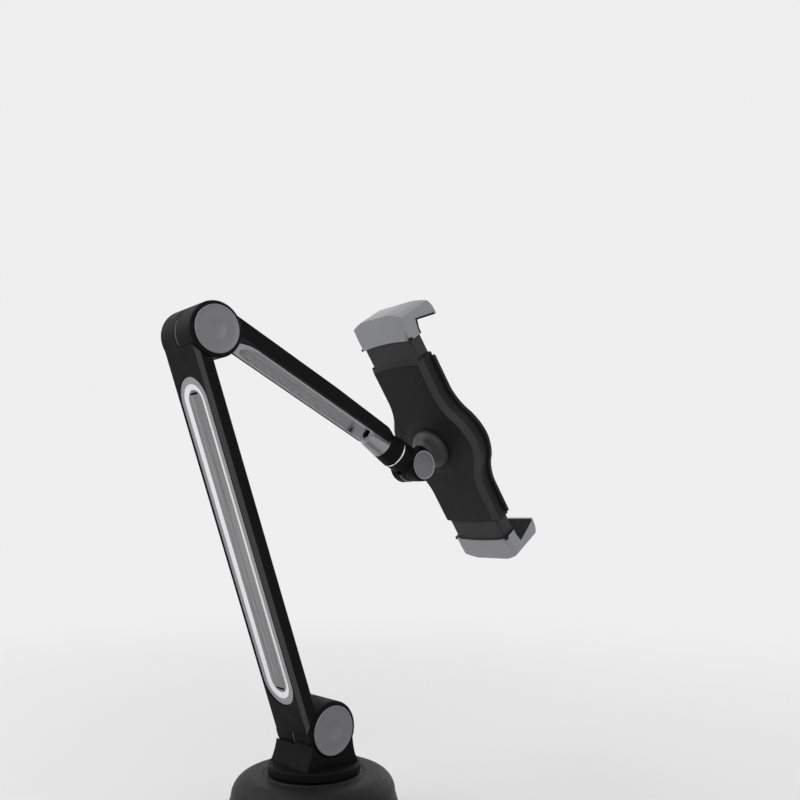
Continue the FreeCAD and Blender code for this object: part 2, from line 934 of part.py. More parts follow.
knuckle_start = size("wrist_seat") + size("wrist_ring_height") + SEAT * 2
wrist_screw_tip = knuckle_start + size("wrist_thread")
wrist_screw_seat = size("wrist_shoulder") - size("wrist_washer_height") - SEAT
wrist_screw_top = wrist_screw_seat - size("wrist_head_height")
wrist_head_room = size("wrist_head_radius") + LOOSE
end_wall_stop = size("end_wall_start") + size("end_wall")


def swell_radius(along):
    """Radius of the arm's swelling end at a place along the arm."""
    low = size("end_wall_start")
    growth = size("end_collar_radius") - size("end_swell_radius")
    return size("end_swell_radius") + growth * (along - low) / (size("wrist_seat") - low)


def swell(piece, low, high):
    """Part of the cone that the arm's end swells into, about the wrist's axis."""
    piece.turn("Z", [
        (0, low),
        (swell_radius(low), low),
        (swell_radius(high), high),
        (0, high),
    ], -size("wrist_offset"))


def round_start(half, start, end):
    """Outline of the strip or its channel: round at the elbow, square at the other end."""
    return [
        (half, end),
        (-half, end),
        (-half, start + half),
        (0, start, half),
        (half, start + half, half),
    ]


def end_plate(half, end):
    """Outline of the strip's last stretch, with round corners."""
    low = size("end_wall_start")
    corner = size("end_corner")
    return [
        (-half, low),
        (half, low),
        (half, end - corner),
        (half - corner, end, corner),
        (corner - half, end),
        (-half, end - corner, corner),
    ]


def upper_arm_beam():
    """Black arm: a flatter bar whose end swells into a round collar for the wrist."""
    piece = Piece("upper_arm_beam", UPPER_ARM)
    half = size("upper_width") / 2
    inner = size("upper_inner")
    outer = size("upper_outer")
    end = size("upper_end")
    cut = size("arm_bevel")
    axis = size("wrist_offset")
    plan = [(-half, 0), (half, 0), (half, end - half), (0, end, half), (-half, end - half, half)]
    piece.pad("XZ_Plane", inner, outer, [plan])
    piece.bevel("Chamfer", cut, lambda p: abs(p.y - outer.value) < NEAR and p.z > NEAR)
    saddle(piece, 1, NOTHING)
    head_hub(piece, NOTHING)
    swell(piece, size("end_collar_start"), size("wrist_seat"))
    half = size("upper_inlay_width") / 2 + SEAT
    seat = round_start(half, size("upper_inlay_start") - SEAT, end_wall_stop + SEAT)
    piece.cut("XZ_Plane", inner - cut, inner + size("upper_inlay_depth") + SEAT, [seat])
    low = axis - size("end_collar_radius") - cut
    plate = end_plate(half, size("upper_inlay_end") + SEAT)
    piece.cut("XZ_Plane", low, inner + size("end_plate") + SEAT, [plate])
    shoulder = size("wrist_shoulder")
    loading = wrist_screw_top - (wrist_screw_tip - shoulder)
    piece.cut("XY_Plane", loading, shoulder, circles=[(0, axis, wrist_head_room)])
    bore = [(0, axis, size("wrist_screw_radius") + RUNNING)]
    piece.cut("XY_Plane", shoulder, size("wrist_seat") + cut, circles=bore)
    return piece


def upper_arm_inlay():
    """Bright trough let into the arm's underside. It ends at a wall, behind which it covers the
    swelling end and the head of the wrist screw. The wall has a hole for a screwdriver."""
    piece = Piece("upper_arm_inlay", UPPER_ARM)
    half = size("upper_inlay_width") / 2
    start = size("upper_inlay_start")
    end = size("upper_inlay_end")
    inner = size("upper_inner")
    axis = size("wrist_offset")
    face = inner - size("upper_inlay_proud")
    back = inner + size("upper_inlay_depth")
    plate = inner + size("end_plate")
    wall = size("end_wall_start")
    piece.pad("XZ_Plane", face, back, [round_start(half, start, end_wall_stop)])
    piece.pad("XZ_Plane", face, plate, [end_plate(half, end)])
    swell(piece, wall, end)
    clear = size("end_wall")
    far = back + size("end_collar_radius")
    piece.cut("YZ_Plane", -half, half, [[
        (back, wall - clear),
        (far, wall - clear),
        (far, end + clear),
        (plate, end + clear),
        (plate, end_wall_stop),
        (back, end_wall_stop),
    ]])
    depth = size("upper_channel_depth")
    side = size("upper_channel_wall")
    mouth = size("upper_channel_start")
    piece.cut("XZ_Plane", face, face + depth, [round_start(half - side, mouth, wall)])
    low = wrist_screw_top - LOOSE
    piece.cut("XY_Plane", wall - clear, low, circles=[(0, axis, size("driver_radius"))])
    piece.cut("XY_Plane", low, end + clear, circles=[(0, axis, wrist_head_room)])
    across = size("cable_slot_width") / 2
    reach = size("cable_slot_length")
    opening = box(-across, across, mouth + reach, mouth + reach * 2)
    piece.cut("XZ_Plane", face + depth - BEVEL, back, [opening])
    return piece


def swivel_ring():
    """Bright spacer ring between the arm and the knuckle."""
    piece = Piece("swivel_ring", WRIST)
    low = size("wrist_seat")
    high = low + size("wrist_ring_height")
    inner = size("wrist_screw_radius") + RUNNING
    outer = size("end_collar_radius")
    cut = size("wrist_ring_bevel")
    piece.turn("Z", [
        (inner, low),
        (outer - cut, low),
        (outer, low + cut),
        (outer, high - cut),
        (outer - cut, high),
        (inner, high),
    ])
    return piece


def wrist_screw():
    """Shoulder screw along the arm, on which the knuckle turns."""
    piece = Piece("wrist_screw", WRIST)
    head = size("wrist_head_radius")
    piece.turn("Z", [
        (0, wrist_screw_top),
        (head - BEVEL, wrist_screw_top),
        (head, wrist_screw_top + BEVEL),
        (head, wrist_screw_seat),
        (size("wrist_screw_radius"), wrist_screw_seat),
        (size("wrist_screw_radius"), wrist_screw_tip),
        (0, wrist_screw_tip),
    ])
    return piece


def wrist_washer():
    piece = Piece("wrist_washer", WRIST)
    high = size("wrist_shoulder") - RUNNING
    rings = [(0, 0, size("wrist_head_radius")), (0, 0, size("wrist_screw_radius") + RUNNING)]
    piece.pad("XY_Plane", high - size("wrist_washer_height"), high, circles=rings)
    return piece


tilt_half = size("tilt_length") / 2
tilt_floor = size("tongue_height") / 2 + LOOSE + size("tilt_web")
tilt_slot = size("tilt_reach") - size("tongue_radius") - LOOSE


def wrist_knuckle():
    """Round block that ends in the two outer leaves of the tilt hinge."""
    piece = Piece("wrist_knuckle", WRIST)
    reach = size("tilt_reach")
    radius = size("knuckle_radius")
    barrel = size("tilt_radius")
    piece.turn("Z", [
        (0, knuckle_start),
        (radius - BEVEL, knuckle_start),
        (radius, knuckle_start + BEVEL),
        (radius, reach),
        (0, reach),
    ])
    piece.turn("X", [
        (-tilt_half, 0),
        (tilt_half, 0),
        (tilt_half, barrel - BEVEL),
        (tilt_half - BEVEL, barrel),
        (BEVEL - tilt_half, barrel),
        (-tilt_half, barrel - BEVEL),
    ], reach)
    gap = size("tongue_height") / 2 + LOOSE
    far = barrel * 2
    piece.cut("XZ_Plane", -far, far, [box(-gap, gap, tilt_slot, reach + far)])
    recess = size("tilt_head_radius") + SEAT
    for side in (-1, 1):
        piece.groove("X", [
            (side * tilt_floor, 0),
            (side * tilt_floor, recess),
            (side * (tilt_half + BEVEL), recess),
            (side * (tilt_half + BEVEL), 0),
        ], reach)
    bore = [(0, reach, size("tilt_bolt_radius"))]
    piece.cut("YZ_Plane", -tilt_half, tilt_half, circles=bore)
    piece.cut("XY_Plane", knuckle_start, wrist_screw_tip, circles=[(0, 0, size("wrist_screw_radius"))])
    return piece


def tilt_bolt():
    piece = Piece("tilt_bolt", TILT_HINGE)
    head = size("tilt_head_radius")
    bolt = size("tilt_bolt_radius")
    outer = tilt_floor + size("tilt_head_height")
    piece.turn("X", [
        (-outer, 0),
        (outer, 0),
        (outer, bolt),
        (-tilt_floor, bolt),
        (-tilt_floor, head),
        (-outer, head),
    ])
    return piece


def tilt_nut():
    piece = Piece("tilt_nut", TILT_HINGE)
    nut = [hexagon(size("tilt_nut_radius"))]
    bore = [(0, 0, size("tilt_bolt_radius"))]
    piece.pad("YZ_Plane", tilt_floor, tilt_floor + size("tilt_head_height"), nut, bore)
    return piece


def tilt_cap(node, side):
    """Disc over an end of the tilt hinge, plugged into the bolt's recess."""
    piece = Piece(node, TILT_HINGE)
    radius = size("tilt_cap_radius")
    plug = tilt_floor + size("tilt_head_height") + SEAT
    face = tilt_half + size("tilt_cap_height")
    rim = size("wrist_ring_bevel")
    piece.turn("X", [
        (side * plug, 0),
        (side * plug, size("tilt_head_radius")),
        (side * tilt_half, size("tilt_head_radius")),
        (side * tilt_half, radius),
        (side * (face - rim), radius),
        (side * face, radius - rim),
        (side * face, 0),
    ])
    return piece


collar_back = size("plate_depth") - size("neck_root")
collar_front = size("body_back") + size("dome_height") + LOOSE
stub_end = size("boss_back") - LOOSE / 2


def mount_collar():
    """Middle leaf of the tilt hinge, its neck, a round collar and the stub in the holder."""
    piece = Piece("mount_collar", HOLDER)
    hinge = size("plate_depth")
    radius = size("collar_radius")
    neck = size("neck_root_radius")
    shoulder = collar_front + size("collar_height")
    piece.turn("Y", [
        (0, stub_end),
        (size("stub_radius"), stub_end),
        (size("stub_radius"), collar_front),
        (radius, collar_front),
        (radius, shoulder - BEVEL * 2),
        (radius - BEVEL * 2, shoulder),
        (neck + BEVEL, shoulder),
        (neck, shoulder + BEVEL),
        (neck, collar_back),
        (0, collar_back),
    ])
    half = size("tongue_height") / 2
    piece.pad("YZ_Plane", -half, half, circles=[(hinge, 0, size("tongue_radius"))])
    wide = size("neck_half")
    piece.pad("YZ_Plane", -half, half, [box(shoulder, hinge, -wide, wide)])
    bore = size("tilt_bolt_radius") + RUNNING
    piece.cut("YZ_Plane", -half, half, circles=[(hinge, 0, bore)])
    screw = [(0, 0, size("retainer_screw_radius"))]
    piece.cut("XZ_Plane", stub_end, collar_front, circles=screw)
    return piece


plate_front = stub_end - size("retainer_height")
head_sink = size("retainer_head_radius") - size("retainer_screw_radius")


def retaining_plate():
    """Disc inside the holder that keeps the mount's stub in its bore."""
    piece = Piece("retaining_plate", HOLDER)
    piece.turn("Y", [
        (size("retainer_head_radius"), plate_front),
        (size("retainer_radius"), plate_front),
        (size("retainer_radius"), stub_end),
        (size("retainer_screw_radius"), stub_end),
        (size("retainer_screw_radius"), plate_front + head_sink),
    ])
    return piece


def retaining_screw():
    piece = Piece("retaining_screw", HOLDER)
    thread = size("retainer_screw_radius")
    piece.turn("Y", [
        (0, plate_front),
        (size("retainer_head_radius"), plate_front),
        (thread, plate_front + head_sink),
        (thread, collar_front),
        (0, collar_front),
    ])
    return piece


def arch_radius(half, rise):
    """Radius of an arc that rises this much in the middle of its chord."""
    return (half * half + rise * rise) / (rise * 2)


def beyond_bow(level, far, bow="clamp_bow"):
    """Everything from a bowed line across the jaw out to another level."""
    half = size("clamp_half") + LOOSE
    arch = arch_radius(half, size(bow))
    turn = arch if far.value < level.value else -arch
    side = -half if far.value < level.value else half
    return [(side, far), (-side, far), (-side, level), (side, level, turn)]


def holder_outline(inset, end, bow):
    """Outline of the holder: straight sides that swell to a wide middle, bowed ends."""
    waist = size("waist_half") - inset
    bulge = size("bulge_half") - inset
    flat = size("bulge_flat")
    far = size("bulge_end")
    across = bulge - waist
    along = far - flat
    curve = (across * across + along * along) / (across * 4)
    middle = ((waist + bulge) / 2, (flat + far) / 2)
    corners = [
        (waist, -end),
        (waist, -far),
        (middle[0], -middle[1], -curve),
        (bulge, -flat, curve),
        (bulge, flat),
        (middle[0], middle[1], curve),
        (waist, far, -curve),
        (waist, end),
    ]
    turned = [(-x, -as_size(z), *bend) for x, z, *bend in corners]
    if bow is None:
        return corners + turned
    arch = arch_radius(waist, bow)
    corners[0] = (waist, -end, arch)
    turned[0] = (-waist, end, arch)
    return corners + turned


def back_cover():
    """Shell of the holder: channel for the jaws, wide middle and a boss for the stub. A flange
    stands out along the two sides where the shell faces the device."""
    piece = Piece("back_cover", HOLDER)
    front = size("body_front")
    back = size("body_back")
    wall = size("body_wall")
    end = size("body_end")
    piece.pad("XZ_Plane", front, back, [holder_outline(0, end, size("body_bow"))])
    piece.bevel("Chamfer", size("body_bevel"), lambda p: abs(p.y - back.value) < NEAR)
    flange = size("flange_width")
    rim = holder_outline(-flange, end - flange, size("body_bow"))
    piece.pad("XZ_Plane", front, front + size("flange_height"), [rim])
    dome = size("dome_radius")
    rise = back + size("dome_height")
    piece.turn("Y", [
        (0, back - wall / 2),
        (dome + BEVEL, back - wall / 2),
        (dome, back),
        (dome - size("body_bow") * 2, rise),
        (0, rise),
    ])
    floor = back - size("body_back_wall")
    clear = size("dome_height")
    inside = holder_outline(wall, end - wall, None)
    piece.cut("XZ_Plane", front - clear, floor - wall / 2, [inside])
    channel = size("waist_half") - wall
    far = end + size("body_bow") * 2
    piece.cut("XZ_Plane", front - clear, floor, [box(-channel, channel, -far, far)])
    piece.pad("XZ_Plane", size("boss_back"), floor, circles=[(0, 0, size("boss_radius"))])
    bore = [(0, 0, size("stub_radius") + RUNNING)]
    piece.cut("XZ_Plane", front, rise + clear, circles=bore)
    post = size("screw_post_radius")
    low = front + size("front_plate_height")
    piece.pad("XZ_Plane", low, floor, circles=screw_places(post))
    tip = front + size("screw_head_height") + size("screw_length")
    piece.cut("XZ_Plane", low - clear, tip, circles=screw_places(size("screw_radius")))
    return piece


def screw_places(radius):
    across, along = size("screw_across"), size("screw_along")
    return [(x * across, z * along, radius) for x in (-1, 1) for z in (-1, 1)]


def front_plate():
    """Inner plate that the device's back faces, with the post of the pinion."""
    piece = Piece("front_plate", HOLDER)
    front = size("body_front")
    low = front + size("front_plate_height")
    inset = size("body_wall") + SEAT * 2
    piece.pad("XZ_Plane", front, low, [holder_outline(inset, size("front_plate_end"), None)])
    post = [(0, 0, size("pinion_post_radius"))]
    top = size("pinion_front") + size("pinion_height")
    piece.pad("XZ_Plane", low, top, circles=post)
    clear = size("screw_radius")
    piece.cut("XZ_Plane", front - clear, low + clear, circles=screw_places(clear))
    head = screw_places(size("screw_head_radius"))
    piece.cut("XZ_Plane", front - clear, front + size("screw_head_height"), circles=head)
    return piece


def cover_screws():
    """Four small screws that join the front plate to the cover."""
    piece = Piece("cover_screws", HOLDER)
    front = size("body_front")
    neck = front + size("screw_head_height")
    piece.pad("XZ_Plane", front, neck, circles=screw_places(size("screw_head_radius")))
    tip = neck + size("screw_length")
    piece.pad("XZ_Plane", neck, tip, circles=screw_places(size("screw_radius")))
    return piece


def grip_pads():
    """Two thin rubber strips on the front plate."""
    piece = Piece("grip_pads", HOLDER)
    half = size("grip_half_width")
    front = size("body_front")
    inner, outer = size("grip_inner"), size("grip_outer")
    strips = [box(-half, half, inner, outer), box(-half, half, -outer, -inner)]
    piece.pad("XZ_Plane", front - size("grip_height"), front, strips)
    return piece


pitch_radius = size("gear_module") * size("gear_teeth") / 2
tooth_pitch = size("gear_module") * math.pi


def tooth_half_gap(depth):
    """Half the width of the gap between two rack teeth, at a depth below the pitch line."""
    flank = sine(size("pressure_angle")) / cosine(size("pressure_angle"))
    return tooth_pitch / 4 + size("tooth_backlash") / 2 - flank * depth


def pinion():
    """Small gear between the two racks; its teeth are cut one by one."""
    piece = Piece("pinion", HOLDER)
    low = size("pinion_front")
    high = low + size("pinion_height")
    tip = pitch_radius + size("tooth_height")
    bore = (0, 0, size("pinion_post_radius") + RUNNING)
    piece.pad("XZ_Plane", low, high, circles=[(0, 0, tip), bore])
    base = pitch_radius - size("tooth_root")
    half_step = as_size(HALF_TURN) / size("gear_teeth")
    spare = size("tooth_backlash") / 2
    flat = tooth_pitch / 4 + spare
    wide = flat + size("tooth_height") * size("tooth_flare")
    narrow = flat - size("tooth_root") * size("tooth_taper")
    far = tip + spare
    gap = rotated([
        (base, -narrow),
        (pitch_radius, -flat),
        (far, -wide),
        (far, wide),
        (pitch_radius, flat),
        (base, narrow),
    ], half_step)
    pocket = piece.cut("XZ_Plane", low, high, [gap])
    pattern = piece.body.newObject("PartDesign::PolarPattern", "Teeth")
    pattern.Originals = [pocket]
    pattern.Axis = (piece.plane("Y_Axis"), [""])
    pattern.Angle = FULL_TURN
    pattern.setExpression("Occurrences", size("gear_teeth").text)
    piece.body.Tip = pattern
    return piece


def clamp_spring():
    """Flat coil spring under the pinion that draws the jaws together."""
    piece = Piece("clamp_spring", HOLDER)
    high = size("pinion_front") - SEAT
    rings = [(0, 0, size("spring_outer")), (0, 0, size("spring_inner"))]
    piece.pad("XZ_Plane", high - size("spring_height"), high, circles=rings)
    return piece


def slider(node, place):
    """Jaw slide: block, plate and tenon in the channel, and a rack on the left side."""
    piece = Piece(node, place)
    half = size("slider_half")
    front = size("body_front") + SEAT
    back = size("slider_back")
    start = size("slider_block")
    end = slider_end
    spare = size("clamp_bow") * 2
    piece.pad("XZ_Plane", front, back, [box(-half, half, start, end + spare)])
    plate = box(-half, half, size("slider_plate_start"), start)
    piece.pad("XZ_Plane", size("slider_plate_front"), back, [plate])
    rim = half.value - NEAR
    piece.bevel("Chamfer", size("slider_bevel"), lambda p: abs(p.x) > rim and p.y > back.value - NEAR)
    piece.cut("XZ_Plane", front - SEAT, back + SEAT, [beyond_bow(end, end + spare * 2)])
    rack_low = size("rack_front")
    rack_high = rack_low + size("rack_height")
    tip = pitch_radius - size("tooth_height")
    outer = size("rack_outer")
    rack_end = size("rack_end")
    piece.pad("XZ_Plane", rack_low, rack_high, [box(-outer, -tip, -rack_end, start)])
    link = box(-outer, -pitch_radius - size("tooth_root"), size("slider_plate_start"), start)
    piece.pad("XZ_Plane", rack_high, size("slider_plate_front"), [link])
    tenon = size("tenon_half")
    tenon_end = end + size("tenon_length")
    piece.pad("XZ_Plane", size("tenon_front"), size("tenon_back"), [box(-tenon, tenon, end, tenon_end)])
    room = size("jaw_close") * 2 + rack_end - start + LOOSE * 2
    inner = tip - LOOSE * 2
    pocket = box(inner, outer + LOOSE * 2, start - LOOSE, start + room)
    piece.cut("XZ_Plane", rack_low - LOOSE, rack_high + LOOSE, [pocket])
    root_line = pitch_radius + size("tooth_root")
    above, below = tooth_half_gap(-size("tooth_height")), tooth_half_gap(size("tooth_root"))
    reach = size("jaw_open") + tooth_pitch * 2
    count = int((size("jaw_open") + size("jaw_close")).value / tooth_pitch.value) + SPARE_TEETH
    first = -tooth_pitch * int(reach.value / tooth_pitch.value)
    gap = [
        (-root_line, first - below),
        (-tip, first - above),
        (-tip, first + above),
        (-root_line, first + below),
    ]
    cut = piece.cut("XZ_Plane", rack_low, rack_high, [gap])
    pattern = piece.body.newObject("PartDesign::LinearPattern", "Teeth")
    pattern.Originals = [cut]
    pattern.Direction = (piece.plane("Z_Axis"), [""])
    pattern.Mode = "Spacing"
    pattern.setExpression("Offset", tooth_pitch.text)
    pattern.Occurrences = count
    piece.body.Tip = pattern
    return piece


seat_start = size("seat_depth") - size("seat_rise")
seat_tip = size("seat_depth") - size("seat_slope")
slider_end = size("seat_depth") - size("slider_to_seat")
pad_end = slider_end + SEAT
clamp_start = pad_end + size("pad_wall")
clamp_end = size("seat_depth") + size("crown_rise")


def pad_line(wall, apex):
    """The groove that grips the device's edge, from its back round to the lip."""
    return [
        (size("seat_back") + wall, seat_start),
        (size("seat_middle") + wall, size("seat_depth") - size("seat_sink") + apex),
        (size("seat_front"), seat_tip + wall),
    ]


def tenon_socket(low):
    tenon = size("tenon_half") + SEAT
    return box(-tenon, tenon, low, slider_end + size("tenon_length") + SEAT)


def clamp(node, place):
    """Silver jaw cover: a hook with a flat front, a domed crown and a small slot in its top."""
    piece = Piece(node, place)
    half = size("clamp_half")
    back = size("clamp_back")
    front = size("clamp_front")
    crown = clamp_end - size("crown_arch")
    crown_half = (size("crown_back") - size("crown_front")) / 2
    piece.pad("YZ_Plane", -half, half, [[
        (size("seat_back") + size("pad_wall"), pad_end),
        (back, pad_end),
        (size("crown_back"), crown),
        (size("crown_front"), crown, arch_radius(crown_half, size("crown_arch"))),
        (front, seat_tip, size("clamp_front_round")),
        (size("seat_front"), seat_tip),
    ] + pad_line(size("pad_wall"), size("pad_apex"))[::-1]])
    far = clamp_end + LOOSE
    piece.cut("XZ_Plane", front - SEAT, back + SEAT, [beyond_bow(clamp_start, pad_end - LOOSE)])
    edge = clamp_end - size("crown_bow")
    piece.cut("XZ_Plane", front - SEAT, back + SEAT, [beyond_bow(edge, far, "crown_bow")])
    curve = size("clamp_side_round")
    corners = []
    for side in (-1, 1):
        corners.append([
            (side * (half - curve), back),
            (side * half, back - curve, -side * curve),
            (side * (half + LOOSE), back - curve),
            (side * (half + LOOSE), back + LOOSE),
            (side * (half - curve), back + LOOSE),
        ])
    piece.cut("XY_Plane", pad_end - LOOSE, far, corners)
    socket = [tenon_socket(pad_end)]
    piece.cut("XZ_Plane", size("tenon_front") - SEAT, size("tenon_back") + SEAT, socket)
    lens = size("lens_radius")
    reach = size("lens_half")
    across = size("lens_place")
    bow = arch_radius(reach, lens)
    piece.cut("XY_Plane", clamp_end - size("lens_depth"), far, [[
        (-reach, across, bow),
        (0, across - lens, bow),
        (reach, across, bow),
        (0, across + lens, bow),
    ]])
    return piece


def jaw_pad(node, place):
    """Black rubber lining of the groove and of the clamp's inner end."""
    piece = Piece(node, place)
    half = size("clamp_half") - SEAT
    wall = size("pad_wall")
    back = size("clamp_back") - SEAT * 3
    inner = size("seat_back")
    band = clamp_start + size("clamp_bow")
    profile = [(inner, pad_end), (back, pad_end), (back, band), (inner + wall, band)]
    profile += pad_line(wall, size("pad_apex")) + pad_line(NOTHING, NOTHING)[::-1]
    piece.pad("YZ_Plane", -half, half, [profile])
    far = pad_end - LOOSE
    piece.cut("XZ_Plane", inner - SEAT, back + SEAT, [beyond_bow(pad_end, far)])
    trim = beyond_bow(clamp_start, band + LOOSE)
    piece.cut("XZ_Plane", inner + wall, back + SEAT, [trim])
    socket = [tenon_socket(far)]
    piece.cut("XZ_Plane", size("tenon_front") - SEAT, size("tenon_back") + SEAT, socket)
    return piece


PARTS = [
    suction_cup(),
    suction_stem(),
    cam_pin(),
    base_housing(),
    lock_lever(),
    base_yoke(),
    turntable_screw(),
    turntable_washer(),
    hinge_bolt("base_hinge_bolt", BASE_HINGE),
    hinge_nut("base_hinge_nut", BASE_HINGE),
    hinge_washer("base_hinge_washer", BASE_HINGE),
    hinge_cap("base_cap_front", BASE_HINGE, -1),
    hinge_cap("base_cap_rear", LOWER_ARM, 1),
    lower_arm_beam(),
    lower_arm_inlay(),
    hinge_bolt("elbow_bolt", Placement(ELBOW, UPPER_ARM.Rotation)),
    hinge_nut("elbow_nut", Placement(ELBOW, UPPER_ARM.Rotation)),
    hinge_washer("elbow_washer", Placement(ELBOW, UPPER_ARM.Rotation)),
    hinge_cap("elbow_cap_front", Placement(ELBOW, UPPER_ARM.Rotation), -1),
    hinge_cap("elbow_cap_rear", Placement(ELBOW, LOWER_ARM.Rotation), 1),
    upper_arm_beam(),
    upper_arm_inlay(),
    swivel_ring(),
    wrist_screw(),
    wrist_washer(),
    wrist_knuckle(),
    tilt_bolt(),
    tilt_nut(),
    tilt_cap("tilt_cap_front", -1),
    tilt_cap("tilt_cap_rear", 1),
    mount_collar(),
    retaining_plate(),
    retaining_screw(),
    back_cover(),
    front_plate(),
    cover_screws(),
    grip_pads(),
    pinion(),
    clamp_spring(),
    slider("top_slider", HOLDER),
    slider("bottom_slider", BOTTOM_JAW),
    clamp("top_clamp", HOLDER),
    clamp("bottom_clamp", BOTTOM_JAW),
    jaw_pad("top_pad", HOLDER),
    jaw_pad("bottom_pad", BOTTOM_JAW),
]

doc.recompute()
for item in doc.Objects:
    if "Invalid" in item.State or "Error" in item.State:
        raise RuntimeError(f"{item.Name} of {item.Label} can't be built: {item.State}")

os.makedirs("parts", exist_ok=True)
for part in PARTS:
    item = part.body if isinstance(part, Piece) else part
    shape = item.Shape
    if shape.isNull() or not shape.isValid() or not shape.Solids:
        raise RuntimeError(f"{item.Label} has no valid solid")
    shape.exportStep(f"parts/{item.Label}.step")
    print(f"{item.Label}: {len(shape.Solids)} solid, {shape.Volume / 1000:.2f} cm3")
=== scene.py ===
"""Looks of a suction cup stand with a two-piece arm and a spring clamp for a flat device.

Each operator models one piece, or a group of like pieces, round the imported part. Pieces are
drawn in millimetres in the frame of the arm, hinge or holder they belong to, and put in place
in metres at the end."""

import json
import math

import bmesh
import bpy
from bpy.props import FloatProperty, PointerProperty, StringProperty
from mathutils import Matrix, Vector


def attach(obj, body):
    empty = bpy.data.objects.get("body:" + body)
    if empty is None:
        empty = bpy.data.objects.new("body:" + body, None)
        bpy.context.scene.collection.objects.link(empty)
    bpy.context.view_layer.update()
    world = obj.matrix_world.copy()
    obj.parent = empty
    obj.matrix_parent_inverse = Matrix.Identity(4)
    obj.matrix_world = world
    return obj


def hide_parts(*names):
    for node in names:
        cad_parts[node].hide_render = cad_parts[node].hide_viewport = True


bl_info = {
    "name": "Suction Cup Stand",
    "version": (1, 0, 0),
    "blender": (4, 5, 0),
    "location": "View3D > Sidebar > Stand",
    "description": "Detailed pieces and finishes of a suction cup stand for a flat device",
    "category": "Object",
}

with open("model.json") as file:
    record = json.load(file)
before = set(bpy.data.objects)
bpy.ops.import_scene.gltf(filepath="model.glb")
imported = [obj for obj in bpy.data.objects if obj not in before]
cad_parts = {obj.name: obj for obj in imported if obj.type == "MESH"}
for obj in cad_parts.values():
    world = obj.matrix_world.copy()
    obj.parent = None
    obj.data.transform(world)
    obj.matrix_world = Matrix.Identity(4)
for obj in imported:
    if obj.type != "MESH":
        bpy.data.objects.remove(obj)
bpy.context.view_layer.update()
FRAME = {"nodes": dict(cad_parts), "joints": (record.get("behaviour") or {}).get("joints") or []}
NODES = FRAME["nodes"]
JOINTS = {joint["name"]: joint for joint in FRAME["joints"]}
MM = 0.001

# Distance at which points of a mesh become one, and the turn in degrees of a real corner
MERGE = 1e-4
CORNER = 60
# Steps round a turned shape that is seen from near
FINE_STEPS = 128


def tip_of(direction):
    """Angle in degrees by which the Z axis tips about X to point along a direction."""
    return math.degrees(math.atan2(-direction[1], direction[2]))


def tipped(origin, angle):
    """Frame at a point of the stand, tipped about X, for sizes in millimetres."""
    turn = Matrix.Rotation(math.radians(angle), 4, "X")
    return Matrix.Translation(Vector(origin)) @ turn @ Matrix.Scale(MM, 4)


BASE_PIVOT = Vector(JOINTS["base_tilt"]["pos_m"])
ELBOW_PIVOT = Vector(JOINTS["elbow"]["pos_m"])
TILT_PIVOT = Vector(JOINTS["holder_tilt"]["pos_m"])
ARM_LEAN = tip_of(ELBOW_PIVOT - BASE_PIVOT)
ARM_DROOP = tip_of(JOINTS["wrist_swivel"]["axis"])
PLATE_LEAN = tip_of(JOINTS["top_jaw_slide"]["axis"])
PLATE_NORMAL = Vector(JOINTS["holder_spin"]["axis"])
PLATE_DEPTH = 35.3
ARM_LENGTH = (ELBOW_PIVOT - BASE_PIVOT).length / MM
WRIST_REACH = 136.3

GROUND = tipped((0, 0, 0), 0)
BASE_HINGE = tipped(BASE_PIVOT, 0)
LOWER_ARM = tipped(BASE_PIVOT, ARM_LEAN)
ELBOW_REAR = tipped(ELBOW_PIVOT, ARM_LEAN)
UPPER_ARM = tipped(ELBOW_PIVOT, ARM_DROOP)
TILT_HINGE = tipped(TILT_PIVOT, ARM_DROOP)
WRIST = TILT_HINGE @ Matrix.Translation((0, 0, -WRIST_REACH))
HOLDER = tipped(TILT_PIVOT - PLATE_NORMAL * PLATE_DEPTH * MM, PLATE_LEAN)
BOTTOM_JAW = HOLDER @ Matrix.Rotation(math.pi, 4, "Y")

# Large hinges, measured from the seam: the barrel, the caps' seats and a neighbour's room
BARREL_RADIUS = 12.5
BARREL_END = 14
SEAM = 0.4
CAP_SEAT = 13.2
CAP_RECESS = 10.82
ROOM_RADIUS = 13.0
ROOM_END = 15

# Lower arm: half its width, its outer face and where its edge starts
ARM_HALF = 14
ARM_FACE = 12.5
ARM_EDGE = 6.1

# Upper arm: the wrist's axis beside the hinge's, the swelling end and the ring on it
WRIST_LINE = (0, 6.4, 0)
SWELL_END = 121.1
RING_RADIUS = 8.1
STRIP_WALL = 101

# Tilt hinge: the slot between the leaves and the leaf in it
LEAF_GAP = 2.4
LEAF_HALF = 2.1

# Holder, measured from the plate's plane: the cover's rim and back
COVER_RIM = 6.2
COVER_BACK = 16.5

# Jaws: half the width, the inner end with its bow, the crown's end with its bow, the groove
JAW_HALF = 19.5
LINING_HALF = 19.4
JAW_START = 61.3
JAW_BOW = 1.75
CROWN_START = 73.7
CROWN_BOW = 4.6
TENON_HALF = 14.1
TENON_END = 65.3
TENON_DEPTH = (8.8, 13.3)


# Modelling, in local millimetres


def plate(half, start, end):
    """Corners of an oblong as wide to both sides, from one level to another."""
    return [(-half, start), (half, start), (half, end), (-half, end)]


